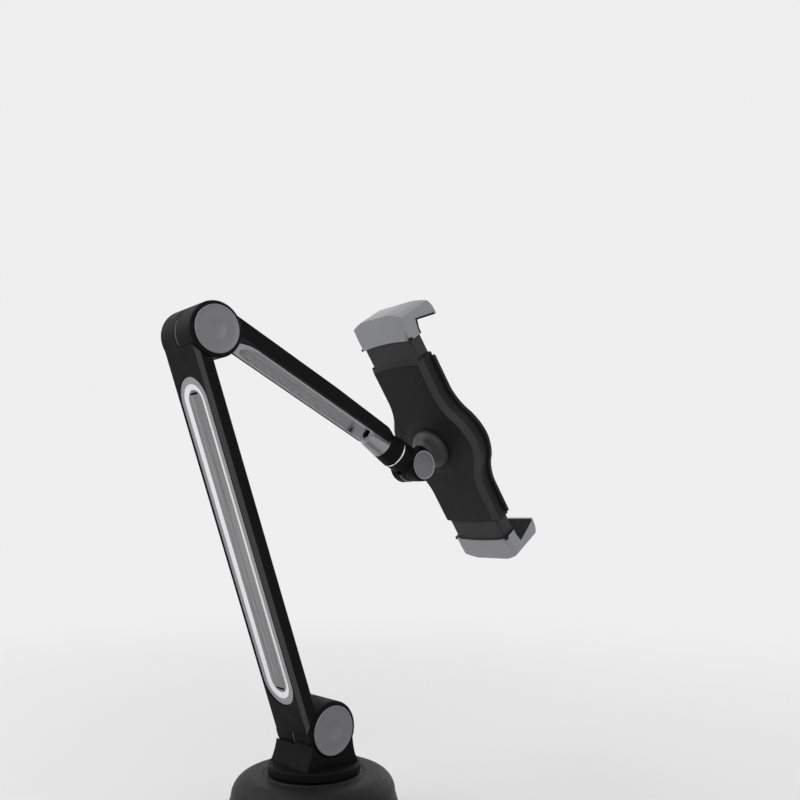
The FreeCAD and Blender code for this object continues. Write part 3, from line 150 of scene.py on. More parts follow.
def slab(corners, low, high, across="z", rounds=None, segments=8):
    """A flat outline of a few corners, some of them rounded, with a thickness across an axis."""
    mesh = bmesh.new()
    order = {"x": (2, 0, 1), "y": (0, 2, 1), "z": (0, 1, 2)}[across]
    corner_verts = []
    for u, v in corners:
        point = (u, v, low)
        corner_verts.append(mesh.verts.new([point[i] for i in order]))
    mesh.faces.new(corner_verts)
    for reach in sorted(set((rounds or {}).values())):
        bmesh.ops.bevel(
            mesh,
            geom=[corner_verts[i] for i, value in rounds.items() if value == reach],
            offset=reach,
            offset_type="OFFSET",
            segments=segments,
            profile=0.5,
            affect="VERTICES",
            material=-1,
        )
    raised = bmesh.ops.extrude_face_region(mesh, geom=mesh.faces[:])["geom"]
    step = [0, 0, high - low]
    bmesh.ops.translate(
        mesh,
        vec=[step[i] for i in order],
        verts=[item for item in raised if isinstance(item, bmesh.types.BMVert)],
    )
    bmesh.ops.recalc_face_normals(mesh, faces=mesh.faces[:])
    return mesh


def lathe(profile, about="z", at=(0, 0, 0), ring=False, steps=96):
    """A turned shape: corners of radius and height, turned once round an axis."""
    mesh = bmesh.new()
    order = {"x": (1, 0, 2), "y": (0, 1, 2), "z": (0, 2, 1)}[about]
    verts = []
    for radius, height in profile:
        point = (radius, height, 0)
        verts.append(mesh.verts.new([point[i] for i in order]))
    pairs = list(zip(verts, verts[1:]))
    if ring:
        pairs.append((verts[-1], verts[0]))
    for a, b in pairs:
        mesh.edges.new((a, b))
    bmesh.ops.spin(
        mesh,
        geom=mesh.verts[:] + mesh.edges[:],
        cent=(0, 0, 0),
        axis={"x": (1, 0, 0), "y": (0, 1, 0), "z": (0, 0, 1)}[about],
        angle=math.tau,
        steps=steps,
        use_merge=True,
    )
    bmesh.ops.remove_doubles(mesh, verts=mesh.verts[:], dist=MERGE)
    bmesh.ops.recalc_face_normals(mesh, faces=mesh.faces[:])
    bmesh.ops.translate(mesh, vec=at, verts=mesh.verts[:])
    return mesh


def soften(mesh, width, segments=3, least=30, where=None):
    """Rounds the edges that turn more than an angle, or those whose ends pass a test."""
    chosen = []
    for edge in mesh.edges:
        if len(edge.link_faces) != 2 or edge.calc_face_angle(0) < math.radians(least):
            continue
        if where is None or all(where(vert.co) for vert in edge.verts):
            chosen.append(edge)
    bmesh.ops.bevel(
        mesh,
        geom=chosen,
        offset=width,
        offset_type="OFFSET",
        segments=segments,
        profile=0.5,
        affect="EDGES",
        clamp_overlap=True,
        material=-1,
    )
    return mesh


def joined(first, *others):
    """The meshes as one, each a closed shape of its own."""
    for other in others:
        held = bpy.data.meshes.new("held")
        other.to_mesh(held)
        other.free()
        first.from_mesh(held)
        bpy.data.meshes.remove(held)
    return first


def carved(mesh, *tools, keep="DIFFERENCE"):
    """The mesh with each tool cut out of it, or added to it."""
    for tool in tools:
        pair = []
        for name, part in (("solid", mesh), ("tool", tool)):
            data = bpy.data.meshes.new(name)
            part.to_mesh(data)
            part.free()
            pair.append(bpy.data.objects.new(name, data))
            bpy.context.scene.collection.objects.link(pair[-1])
        cut = pair[0].modifiers.new("cut", "BOOLEAN")
        cut.operation = keep
        cut.solver = "EXACT"
        cut.object = pair[1]
        graph = bpy.context.evaluated_depsgraph_get()
        result = bpy.data.meshes.new_from_object(pair[0].evaluated_get(graph))
        mesh = bmesh.new()
        mesh.from_mesh(result)
        for item in pair:
            data = item.data
            bpy.data.objects.remove(item)
            bpy.data.meshes.remove(data)
        bpy.data.meshes.remove(result)
        bmesh.ops.remove_doubles(mesh, verts=mesh.verts[:], dist=MERGE)
    return mesh


def paint_faces(mesh, index, test):
    """Gives the faces that pass a test of their middle and normal one of the finishes."""
    for face in mesh.faces:
        if test(face.calc_center_median(), face.normal):
            face.material_index = index


def settle(mesh, name, body, frame, finishes, nodes, smooth=38):
    """Puts a piece in its place with its finishes, and lets it ride on its body."""
    bmesh.ops.transform(mesh, matrix=frame, verts=mesh.verts[:])
    data = bpy.data.meshes.new(name)
    mesh.to_mesh(data)
    mesh.free()
    for finish in finishes:
        data.materials.append(bpy.data.materials[finish])
    data.shade_smooth()
    data.set_sharp_from_angle(angle=math.radians(smooth))
    piece = bpy.data.objects.new(name, data)
    bpy.context.scene.collection.objects.link(piece)
    even = piece.modifiers.new("even shading", "WEIGHTED_NORMAL")
    even.keep_sharp = True
    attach(piece, body)
    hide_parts(*nodes)


# Finishes


def linear(code):
    """A colour written as sRGB hex, as linear red, green, blue and alpha."""
    parts = [int(code[i : i + 2], 16) / 255 for i in (1, 3, 5)]
    return [p / 12.92 if p <= 0.04045 else ((p + 0.055) / 1.055) ** 2.4 for p in parts] + [1]


def add(tree, kind, inputs=None, **settings):
    """Adds a node with its settings, and gives each input a value or another node's output."""
    node = tree.nodes.new(kind)
    for name, value in settings.items():
        setattr(node, name, value)
    for name, value in (inputs or {}).items():
        socket = node.inputs[name]
        if isinstance(value, bpy.types.NodeSocket):
            tree.links.new(value, socket)
        else:
            socket.default_value = value
    return node


def new_finish(name, **values):
    """A material with a shader that starts from these socket values, and its node tree."""
    material = bpy.data.materials.new(name)
    material.use_nodes = True
    tree = material.node_tree
    shader = tree.nodes["Principled BSDF"]
    for socket, value in values.items():
        shader.inputs[socket.replace("_", " ")].default_value = value
    return tree, shader


def local_space(tree, frame, feature):
    """Object coordinates turned into a frame and counted in sizes of a feature, in mm."""
    space = add(tree, "ShaderNodeTexCoord")
    place = frame.to_translation()
    turn = frame.to_euler()
    return add(
        tree,
        "ShaderNodeMapping",
        {
            "Vector": space.outputs["Object"],
            "Location": place,
            "Rotation": turn,
            "Scale": [length * MM for length in feature],
        },
        vector_type="TEXTURE",
    ).outputs["Vector"]


def blotch(tree, space, detail=2.0, rough=0.5):
    """Noise of one feature per unit of the coordinates it is given."""
    return add(
        tree,
        "ShaderNodeTexNoise",
        {"Vector": space, "Scale": 1.0, "Detail": detail, "Roughness": rough},
    ).outputs["Fac"]


def between(tree, amount, low, high):
    """A value that follows another from low to high over the middle of its range."""
    inputs = {"Value": amount, "From Min": 0.3, "From Max": 0.7, "To Min": low, "To Max": high}
    return add(tree, "ShaderNodeMapRange", inputs).outputs["Result"]


def shade(tree, amount, dark, light):
    """A colour between two."""
    inputs = {0: amount, 6: linear(dark), 7: linear(light)}
    return add(tree, "ShaderNodeMix", inputs, data_type="RGBA").outputs[2]


def relief(tree, shader, height, depth):
    """Raises the surface by a height of so many millimetres."""
    bump = add(tree, "ShaderNodeBump", {"Height": height, "Distance": depth * MM, "Strength": 1.0})
    tree.links.new(bump.outputs["Normal"], shader.inputs["Normal"])


def moulded(name, dark, light, rough, grit, depth, shine=0.5, sheen=0.0, ior=1.5):
    """A moulded or painted surface: a slow drift of shade, fine texture and uneven gloss."""
    tree, shader = new_finish(name, IOR=ior, Specular_IOR_Level=shine, Sheen_Weight=sheen)
    slow = blotch(tree, local_space(tree, GROUND, (26, 26, 26)), 3.0)
    fine = blotch(tree, local_space(tree, GROUND, (grit,) * 3), 3.0, 0.6)
    tree.links.new(shade(tree, slow, dark, light), shader.inputs["Base Color"])
    spots = blotch(tree, local_space(tree, GROUND, (grit * 5,) * 3), 2.0)
    tree.links.new(between(tree, spots, *rough), shader.inputs["Roughness"])
    relief(tree, shader, fine, depth)


def brushed(name, frame, colour, rough, streak, depth):
    """Metal with lengthwise brush marks: long thin streaks in shade, gloss and height."""
    tree, shader = new_finish(name, Metallic=1.0)
    marks = blotch(tree, local_space(tree, frame, streak), 4.0, 0.65)
    bands = blotch(tree, local_space(tree, frame, [s * 4 for s in streak]), 2.0)
    mixed = add(
        tree, "ShaderNodeMath", {0: marks, 1: bands}, operation="MULTIPLY"
    ).outputs["Value"]
    inputs = {"Value": mixed, "From Min": 0.14, "From Max": 0.36, "To Min": 0.0, "To Max": 1.0}
    amount = add(tree, "ShaderNodeMapRange", inputs).outputs["Result"]
    tree.links.new(shade(tree, amount, *colour), shader.inputs["Base Color"])
    tree.links.new(between(tree, marks, *rough), shader.inputs["Roughness"])
    relief(tree, shader, marks, depth)


class StandColours(bpy.types.PropertyGroup):
    """Colours of the stand, as sRGB hex."""

    arm: StringProperty(name="Arm", description="Paint of the arms and hinges", default="#111112")
    holder: StringProperty(name="Holder", description="Plastic of the holder", default="#212122")
    slider: StringProperty(name="Sliders", description="Plastic of the jaw slides", default="#313132")
    clamp: StringProperty(name="Clamps", description="Paint of the clamps", default="#8A8B8D")
    strip: StringProperty(name="Strips", description="Aluminium of the arm strips", default="#989898")
    cap: StringProperty(name="Caps", description="Aluminium of the hinge caps", default="#6F6F70")
    rubber: StringProperty(name="Rubber", description="Rubber of the jaw linings", default="#111112")
    cup: StringProperty(name="Cup", description="Soft plastic of the suction cup", default="#161617")
    floor: StringProperty(name="Floor", description="Floor and backdrop", default="#F2F1F2")


class StandSizes(bpy.types.PropertyGroup):
    """Sizes of the stand's details."""

    edge: FloatProperty(
        name="Edge", description="Rounding of moulded edges", default=0.0004, unit="LENGTH"
    )
    arm_bevel: FloatProperty(
        name="Arm bevel", description="Bevel along the arms", default=0.0018, unit="LENGTH"
    )
    body_bevel: FloatProperty(
        name="Holder bevel", description="Bevel round the holder", default=0.0028, unit="LENGTH"
    )
    channel: FloatProperty(
        name="Channel", description="Depth of the strip's channel", default=0.0006, unit="LENGTH"
    )


def colours():
    return bpy.context.scene.stand_colours


def size_of(name):
    """One of the detail sizes, in millimetres."""
    return getattr(bpy.context.scene.stand_sizes, name) / MM


class STAND_OT_finishes(bpy.types.Operator):
    """Makes the finishes of all the pieces"""

    bl_idname = "stand.finishes"
    bl_label = "Finishes"

    def execute(self, context):
        hues = colours()
        # Die cast zinc with satin black stove enamel: a soft highlight with faint orange peel
        moulded("enamelled zinc", "#0C0C0D", hues.arm, (0.5, 0.6), 1.1, 0.006, shine=0.06)
        # The same enamel on the arm's bevels: glossier, and a little lighter in colour, which is a
        # painted highlight along the bevels
        moulded("enamel painted highlight", "#1C1C1D", "#222223", (0.26, 0.34), 1.1, 0.003, shine=0.55)
        # ABS moulded in a spark-eroded tool: matt, with an even fine grit. The grit is about
        # 0.15 mm on the real one and is drawn at 0.35 mm so that it shows
        moulded("textured ABS", "#1C1C1D", hues.holder, (0.46, 0.58), 0.35, 0.012, shine=0.12)
        # The cover's chamfer and the collar's dome, which the tool left smooth: glossier ABS whose
        # lighter colour is a painted highlight
        moulded("smooth ABS painted highlight", "#28282A", "#2D2D2E", (0.34, 0.44), 0.8, 0.004, shine=0.3)
        # Glass-filled nylon slides, a shade lighter and smoother than the cover
        moulded("moulded nylon", "#2C2C2D", hues.slider, (0.42, 0.52), 0.4, 0.008, shine=0.2)
        # Silicone rubber linings: dead matt with a dusty bloom
        moulded("matt silicone", "#0B0B0C", hues.rubber, (0.72, 0.86), 0.5, 0.02, shine=0.2, sheen=0.05)
        # Suction cup of soft PVC from a polished tool: glossy, slightly wavy
        moulded("soft PVC", "#0F0F10", hues.cup, (0.2, 0.32), 4.0, 0.03, ior=1.53)
        # Pale acetal washers, which show as hairlines in the hinge seams
        moulded("acetal", "#8E8E8C", "#9C9C99", (0.4, 0.5), 0.5, 0.005, ior=1.48)
        self.silver_paint(hues)
        self.metals(hues)
        self.caps(hues)
        return {"FINISHED"}

    def silver_paint(self, hues):
        # ABS with silver lacquer: fine aluminium flakes under a thin satin clear coat
        tree, shader = new_finish(
            "silver lacquer", Metallic=0.55, Coat_Weight=0.35, Coat_Roughness=0.22
        )
        flakes = blotch(tree, local_space(tree, GROUND, (0.25, 0.25, 0.25)), 2.0, 0.7)
        slow = blotch(tree, local_space(tree, GROUND, (18, 18, 18)))
        tone = shade(tree, between(tree, flakes, 0.0, 1.0), "#818284", hues.clamp)
        tree.links.new(tone, shader.inputs["Base Color"])
        tree.links.new(between(tree, slow, 0.3, 0.38), shader.inputs["Roughness"])
        relief(tree, shader, flakes, 0.003)

    def metals(self, hues):
        # Extruded aluminium, brushed lengthwise and clear anodised. Brush marks are about
        # 0.05 mm wide and are drawn at 0.4 mm so that they show
        # The floor's colours are darker than the walls' of the same metal: painted shade
        dark = "#6C6C6D"
        brushed("brushed strip low", LOWER_ARM, (dark, hues.strip), (0.3, 0.46), (0.4, 0.4, 40), 0.006)
        brushed("brushed strip up", UPPER_ARM, (dark, hues.strip), (0.3, 0.46), (0.45, 0.45, 30), 0.008)
        # The strip's rim: the same metal, blasted to an even satin before it was cut
        # The same finish paints highlights on the knuckle's leaf edges
        tree, shader = new_finish("satin aluminium and painted highlight", Metallic=1.0)
        grain = blotch(tree, local_space(tree, GROUND, (0.3, 0.3, 0.3)), 3.0, 0.6)
        tree.links.new(shade(tree, grain, "#8E8E90", "#A0A1A2"), shader.inputs["Base Color"])
        tree.links.new(between(tree, grain, 0.36, 0.46), shader.inputs["Roughness"])
        relief(tree, shader, grain, 0.004)
        # Channel walls cut with a diamond tool: nearly as glossy as a mirror, with faint tool marks. The
        # walls are given a near-white colour and the floor and rim of the same metal darker ones: painted
        # highlight on the walls, painted shade on the floor and rim
        brushed("diamond cut painted highlight", LOWER_ARM, ("#E4E5E7", "#F4F4F5"), (0.1, 0.2), (0.5, 0.5, 60), 0.001)
        # Bright chromium on the wrist's spacer
        tree, shader = new_finish("bright chromium", Metallic=1.0)
        haze = blotch(tree, local_space(tree, GROUND, (3, 3, 3)))
        tree.links.new(shade(tree, haze, "#DADBDD", "#EAEBEC"), shader.inputs["Base Color"])
        tree.links.new(between(tree, haze, 0.08, 0.16), shader.inputs["Roughness"])
        # Zinc plated steel of the bolts: greyish, with cloudy passivation
        tree, shader = new_finish("zinc plated steel", Metallic=1.0)
        cloud = blotch(tree, local_space(tree, GROUND, (2.5, 2.5, 2.5)), 4.0, 0.6)
        tree.links.new(shade(tree, cloud, "#8C9096", "#B3B5B8"), shader.inputs["Base Color"])
        tree.links.new(between(tree, cloud, 0.25, 0.45), shader.inputs["Roughness"])

    def caps(self, hues):
        # Aluminium caps faced on a lathe and bead blasted: satin grey with faint rings.
        # The rings are about 0.1 mm apart and are drawn at 0.9 mm so that they show
        hinges = {"elbow": ELBOW_REAR, "base": BASE_HINGE, "tilt": TILT_HINGE}
        for place, frame in hinges.items():
            tree, shader = new_finish(f"turned cap {place}", Metallic=0.85)
            space = local_space(tree, frame, (0.9, 0.9, 0.9))
            rings = add(
                tree,
                "ShaderNodeTexWave",
                {"Vector": space, "Scale": 0.314, "Distortion": 0.3, "Detail": 1.0},
                wave_type="RINGS",
                rings_direction="X",
            ).outputs["Fac"]
            grain = blotch(tree, local_space(tree, GROUND, (0.3, 0.3, 0.3)), 3.0, 0.6)
            mixed = add(
                tree, "ShaderNodeMath", {0: rings, 1: grain}, operation="MULTIPLY"
            ).outputs["Value"]
            tree.links.new(shade(tree, mixed, hues.cap, "#7E7E80"), shader.inputs["Base Color"])
            tree.links.new(between(tree, grain, 0.36, 0.44), shader.inputs["Roughness"])
            relief(tree, shader, mixed, 0.002)


# Pieces of the base


class STAND_OT_base(bpy.types.Operator):
    """Models the suction cup with its tab, the round housing and the lock lever"""

    bl_idname = "stand.base"
    bl_label = "Base"

    def execute(self, context):
        self.cup()
        self.housing()
        self.lever()
        return {"FINISHED"}

    def cup(self):
        cup = lathe([
            (0, 0), (11, 0), (19, 1.5), (27, 0), (43.2, 0), (44, 0.8), (44, 1.6),
            (43.2, 2.0), (42.9, 1.9), (42.6, 2.2), (41.5, 3.2), (36, 3.2), (12.9, 6.1),
            (12.9, 8.2), (8.9, 8.2), (8.9, 4.5), (0, 4.5),
        ], steps=FINE_STEPS)
        soften(cup, 0.3, 2, 25, lambda p: p.xy.length > 41)
        tab = slab([(-8, -42), (-8, -55), (8, -55), (8, -42)], 0, 1.6, rounds={1: 4, 2: 4})
        soften(tab, 0.35, 3, CORNER)
        ribs = []
        for step in range(4):
            place = -53.2 + step * 1.9
            rib = slab(plate(5.6, place, place + 0.9), 1.4, 2.1)
            ribs.append(soften(rib, 0.3, 3, CORNER))
        neck = slab([(-11, -41.5), (-8, -45.5), (8, -45.5), (11, -41.5)], 0.05, 1.55, rounds={1: 2, 2: 2})
        settle(joined(cup, tab, neck, *ribs), "cup", "base", GROUND, ["soft PVC"], ["suction_cup"])

    def housing(self):
        shell = lathe([
            (37.9, 3.25), (40.5, 3.25), (40.5, 7.5), (37, 19), (37, 28), (23.2, 28), (22.8, 27.6),
            (22.2, 27.6), (21.8, 28), (3.2, 28), (3.2, 22), (25.4, 22), (34.4, 19), (37.9, 7.5),
        ], ring=True, steps=FINE_STEPS)
        soften(shell, 8.8, 12, CORNER, lambda p: p.z > 27.9 and p.xy.length > 36)
        soften(shell, 0.5, 3, 15, lambda p: abs(p.z - 7.5) < 0.1 and p.xy.length > 40)
        soften(shell, 0.4, 3, CORNER, lambda p: p.z < 3.3)
        # The room that the lever sweeps through
        window = slab([(-6.3, 24.2), (24.9, -2.0), (60.9, 4.3), (60.8, 60.8), (-6.3, 60.8)], 11, 15.2)
        settle(carved(shell, window), "housing", "base", GROUND, ["textured ABS"], ["base_housing"])

    def lever(self):
        sleeve = lathe([(8.9, 8.6), (12.2, 8.6), (12.2, 17.6), (8.9, 17.6)], ring=True)
        soften(sleeve, 0.3, 2)
        bar = slab(plate(6, 10.6, 49.5), 11.3, 14.9)
        soften(bar, size_of("edge"), 3, CORNER)
        grip = slab(plate(8.5, 44, 55), 11.3, 15.6, rounds={0: 2, 1: 2, 2: 5, 3: 5})
        soften(grip, 0.8, 4, CORNER)
        for place in (46.6, 48.9, 51.2):
            notch = lathe([(0, -12), (0.55, -12), (0.55, 12), (0, 12)], "x", (0, place, 15.75), steps=24)
            grip = carved(grip, notch)
        settle(joined(sleeve, bar, grip), "lever", "lever", GROUND, ["moulded nylon"], ["lock_lever"])


# Hinges


def hub_half(side, round_off):
    """Half of a hinge barrel, with a rounded end and a recess for its cap."""
    profile = [
        (0, SEAM), (BARREL_RADIUS, SEAM), (BARREL_RADIUS, BARREL_END), (CAP_RECESS, BARREL_END),
        (CAP_RECESS, CAP_SEAT), (0, CAP_SEAT),
    ]
    barrel = lathe([(radius, side * reach) for radius, reach in profile], "x")
    soften(barrel, round_off, 5, CORNER, lambda p: abs(p.x) > 13.9 and p.yz.length > 12)
    soften(barrel, 0.25, 2, CORNER, lambda p: abs(p.x) < 0.5 and p.yz.length > 12)
    return barrel


def saddle(side, along=0.0):
    """The room that the barrel of the other piece takes."""
    start, end = sorted((-side * SEAM, side * ROOM_END))
    room = [(0, start), (ROOM_RADIUS, start), (ROOM_RADIUS, end), (0, end)]
    return lathe(room, "x", (0, 0, along), steps=FINE_STEPS)


class STAND_OT_hinges(bpy.types.Operator):
    """Models the turntable with its neck, and the caps of the large hinges"""

    bl_idname = "stand.hinges"
    bl_label = "Turntable and hinge caps"

    def execute(self, context):
        pivot = BASE_PIVOT.z / MM
        disc = lathe([(0, 28.3), (21, 28.3), (21, 32.5), (0, 32.5)], steps=FINE_STEPS)
        soften(disc, 0.9, 4, CORNER)
        neck = slab([
            (-14.2, 32.3 - pivot), (14.2, 32.3 - pivot), (11, 40.2 - pivot), (11, 0), (-11, 0),
            (-11, 40.2 - pivot),
        ], -BARREL_END, BARREL_END, "x", rounds={2: 5, 5: 5})
        soften(neck, 0.8, 4, CORNER, lambda p: p.z < -1)
        neck = carved(neck, saddle(1))
        bmesh.ops.translate(neck, vec=(0, 0, pivot), verts=neck.verts[:])
        hub = hub_half(-1, 1.1)
        bmesh.ops.translate(hub, vec=(0, 0, pivot), verts=hub.verts[:])
        settle(joined(disc, neck, hub), "turntable", "turntable", GROUND, ["enamelled zinc"],
               ["base_yoke"])
        places = (
            ("base_cap_front", "turntable", BASE_HINGE, -1, "base"),
            ("base_cap_rear", "lower_arm", LOWER_ARM, 1, "base"),
            ("elbow_cap_front", "upper_arm", UPPER_ARM, -1, "elbow"),
            ("elbow_cap_rear", "lower_arm", ELBOW_REAR, 1, "elbow"),
        )
        # A raised rim, then a face that sinks in two faint steps to a flat middle
        profile = [
            (0, 13.3), (10.7, 13.3), (10.7, 14.6), (9.9, 14.6), (9.6, 14.42), (8.3, 14.36),
            (8.1, 14.3), (4.4, 14.26), (4.2, 14.18), (0, 14.16),
        ]
        for node, body, frame, side, finish in places:
            turned = [(radius, side * reach) for radius, reach in profile]
            cap = lathe(turned, "x", steps=FINE_STEPS)
            soften(cap, 0.3, 3, CORNER, lambda p: abs(p.x) > 14.5)
            settle(cap, node + "_disc", body, frame, [f"turned cap {finish}"], [node], 50)
        return {"FINISHED"}


# Arms


class STAND_OT_lower_arm(bpy.types.Operator):
    """Models the lower arm and the bright strip let into it"""

    bl_idname = "stand.lower_arm"
    bl_label = "Lower arm"

    def execute(self, context):
        bevel = size_of("arm_bevel")
        bar = slab([
            (-13.4, 5.5), (13.4, 5.5), (ARM_HALF, ARM_EDGE), (ARM_HALF, ARM_FACE - bevel),
            (ARM_HALF - bevel, ARM_FACE), (bevel - ARM_HALF, ARM_FACE), (-ARM_HALF, ARM_FACE - bevel),
            (-ARM_HALF, ARM_EDGE),
        ], 0, ARM_LENGTH, rounds={3: 0.25, 4: 0.25, 5: 0.25, 6: 0.25}, segments=3)
        for along in (0, ARM_LENGTH):
            bar = carved(bar, saddle(-1, along))
        bar = carved(bar, self.strip_outline(11.6, 16.4, 9.5, 13.5))
        bar.normal_update()
        # The bevels along the outer face get the lighter enamel: a painted highlight
        paint_faces(bar, 1, lambda p, n: 0.5 < n.y < 0.9 and abs(n.x) > 0.5 and ARM_FACE - bevel < p.y)
        low_hub = hub_half(1, 1.5)
        high_hub = hub_half(1, 1.5)
        bmesh.ops.translate(high_hub, vec=(0, 0, ARM_LENGTH), verts=high_hub.verts[:])
        settle(joined(bar, low_hub, high_hub), "lower_arm_bar", "lower_arm", LOWER_ARM,
               ["enamelled zinc", "enamel painted highlight"], ["lower_arm_beam"])
        self.strip()
        return {"FINISHED"}

    def strip_outline(self, half, start, low, high):
        """A long plate with round ends."""
        # Full half circles would leave edges too short for a clean cut
        reach = half - 0.3
        corners = plate(half, start, ARM_LENGTH - start)
        return slab(corners, low, high, "y", {i: reach for i in range(4)}, 20)

    def strip(self):
        face = 12.1
        floor = face - size_of("channel")
        strip = self.strip_outline(11.5, 16.5, 9.55, face)
        top = max(strip.faces, key=lambda one: one.normal.y)
        bmesh.ops.inset_region(strip, faces=[top], thickness=3.3)
        bmesh.ops.inset_region(strip, faces=[top], thickness=2.6, depth=-size_of("channel"))
        for place in (23.6, ARM_LENGTH - 24.6):
            slot = slab(plate(3.2, place, place + 1.0), 9, 14, "y", {i: 0.48 for i in range(4)}, 6)
            strip = carved(strip, slot)
        bmesh.ops.recalc_face_normals(strip, faces=strip.faces[:])
        strip.normal_update()
        # The channel's sloping walls get the near-white aluminium: a painted highlight
        paint_faces(strip, 1, lambda p, n: floor < p.y < face and 0.9 < n.y < 0.99)
        paint_faces(strip, 2, lambda p, n: n.y > 0.99 and p.y < floor + 0.1)
        outer = self.near_outline(10.9, 17)
        soften(strip, 0.35, 2, CORNER, lambda p: p.y > face - 0.01 and outer(p))
        settle(strip, "lower_arm_strip", "lower_arm", LOWER_ARM,
               ["satin aluminium and painted highlight", "diamond cut painted highlight", "brushed strip low"], ["lower_arm_inlay"])

    def near_outline(self, half, start):
        """A test for points outside a plate with round ends."""
        def test(p):
            middle = min(max(p.z, start + half), ARM_LENGTH - start - half)
            return math.hypot(p.x, p.z - middle) > half
        return test


class STAND_OT_upper_arm(bpy.types.Operator):
    """Models the upper arm, the bright strip under it and the ring at its end"""

    bl_idname = "stand.upper_arm"
    bl_label = "Upper arm"

    def execute(self, context):
        self.bar()
        self.strip()
        ring = lathe([
            (3.1, SWELL_END), (RING_RADIUS, SWELL_END), (RING_RADIUS, 122.1), (3.1, 122.1),
        ], ring=True, steps=FINE_STEPS)
        soften(ring, 0.3, 4, CORNER)
        settle(ring, "wrist_ring", "upper_arm", WRIST, ["bright chromium"], ["swivel_ring"])
        return {"FINISHED"}

    def trough(self, gap, low):
        """The strip's block and the flat plate beyond its wall, with a gap all round."""
        half = 8.8 + gap
        rounds = {0: half - 0.02, 1: half - 0.02}
        block = slab(plate(half, 15.5 - gap, 102.6 + gap), low, 9.9 + gap, "y", rounds, 20)
        flat = slab(plate(half, 100, 112.5 + gap), low, 6.8 + gap, "y", {2: 3, 3: 3}, 8)
        return carved(block, flat, keep="UNION")

    def bar(self):
        bevel = size_of("arm_bevel")
        bar = slab(plate(10.6, 0, 115), 5.3, 12.4, "y", {2: 10.5, 3: 10.5}, 16)
        soften(bar, bevel, 1, CORNER, lambda p: p.y > 12.3 and p.z > 0.1)
        swell = [(0, 106), (6.15, 106), (RING_RADIUS, SWELL_END), (0, SWELL_END)]
        bar = carved(bar, lathe(swell, "z", WRIST_LINE, steps=FINE_STEPS), keep="UNION")
        bar = carved(bar, saddle(1), self.trough(0.05, -3))
        room = lathe([(0, 99), (5.1, 99), (5.1, 111), (0, 111)], "z", WRIST_LINE, steps=64)
        bar = carved(bar, room)
        settle(joined(bar, hub_half(-1, 1.1)), "upper_arm_bar", "upper_arm", UPPER_ARM,
               ["enamelled zinc"], ["upper_arm_beam"])

    def strip(self):
        strip = self.trough(0, 5.1)
        swell = [(0, STRIP_WALL), (5.5, STRIP_WALL), (6.99, 112.5), (0, 112.5)]
        swell = lathe(swell, "z", WRIST_LINE, steps=FINE_STEPS)
        above = slab(plate(10, 99, 114), 6.75, 20, "y")
        strip = carved(strip, carved(swell, above), keep="UNION")
        channel = slab(plate(7.3, 20.5, STRIP_WALL), 4.9, 8.7, "y", {0: 7.28, 1: 7.28}, 20)
        slot = slab(plate(3.2, 22.1, 23.7), 8.5, 11, "y", {i: 0.78 for i in range(4)}, 6)
        # The screw's hole in the channel's end wall, and the room behind it for its head
        hole = lathe([(0, 99), (2.55, 99), (2.55, 104), (0, 104)], "z", WRIST_LINE, steps=48)
        room = lathe([(0, 103.9), (5.1, 103.9), (5.1, 114), (0, 114)], "z", WRIST_LINE, steps=64)
        strip = carved(strip, channel, slot, hole, room)
        bmesh.ops.recalc_face_normals(strip, faces=strip.faces[:])
        strip.normal_update()
        paint_faces(strip, 1, lambda p, n: p.y < 5.2 or p.z > STRIP_WALL + 0.1)
        # The channel's end wall and side walls get the near-white aluminium: a painted highlight
        paint_faces(strip, 2, lambda p, n: abs(p.z - STRIP_WALL) < 0.1 and n.z < -0.9)
        paint_faces(strip, 2, lambda p, n: 5.2 < p.y < 8.6 and abs(p.x) > 5 and p.z < 100)
        soften(strip, 0.3, 2, CORNER, lambda p: p.y < 5.11)
        settle(strip, "upper_arm_strip", "upper_arm", UPPER_ARM,
               ["brushed strip up", "satin aluminium and painted highlight", "diamond cut painted highlight"], ["upper_arm_inlay"])


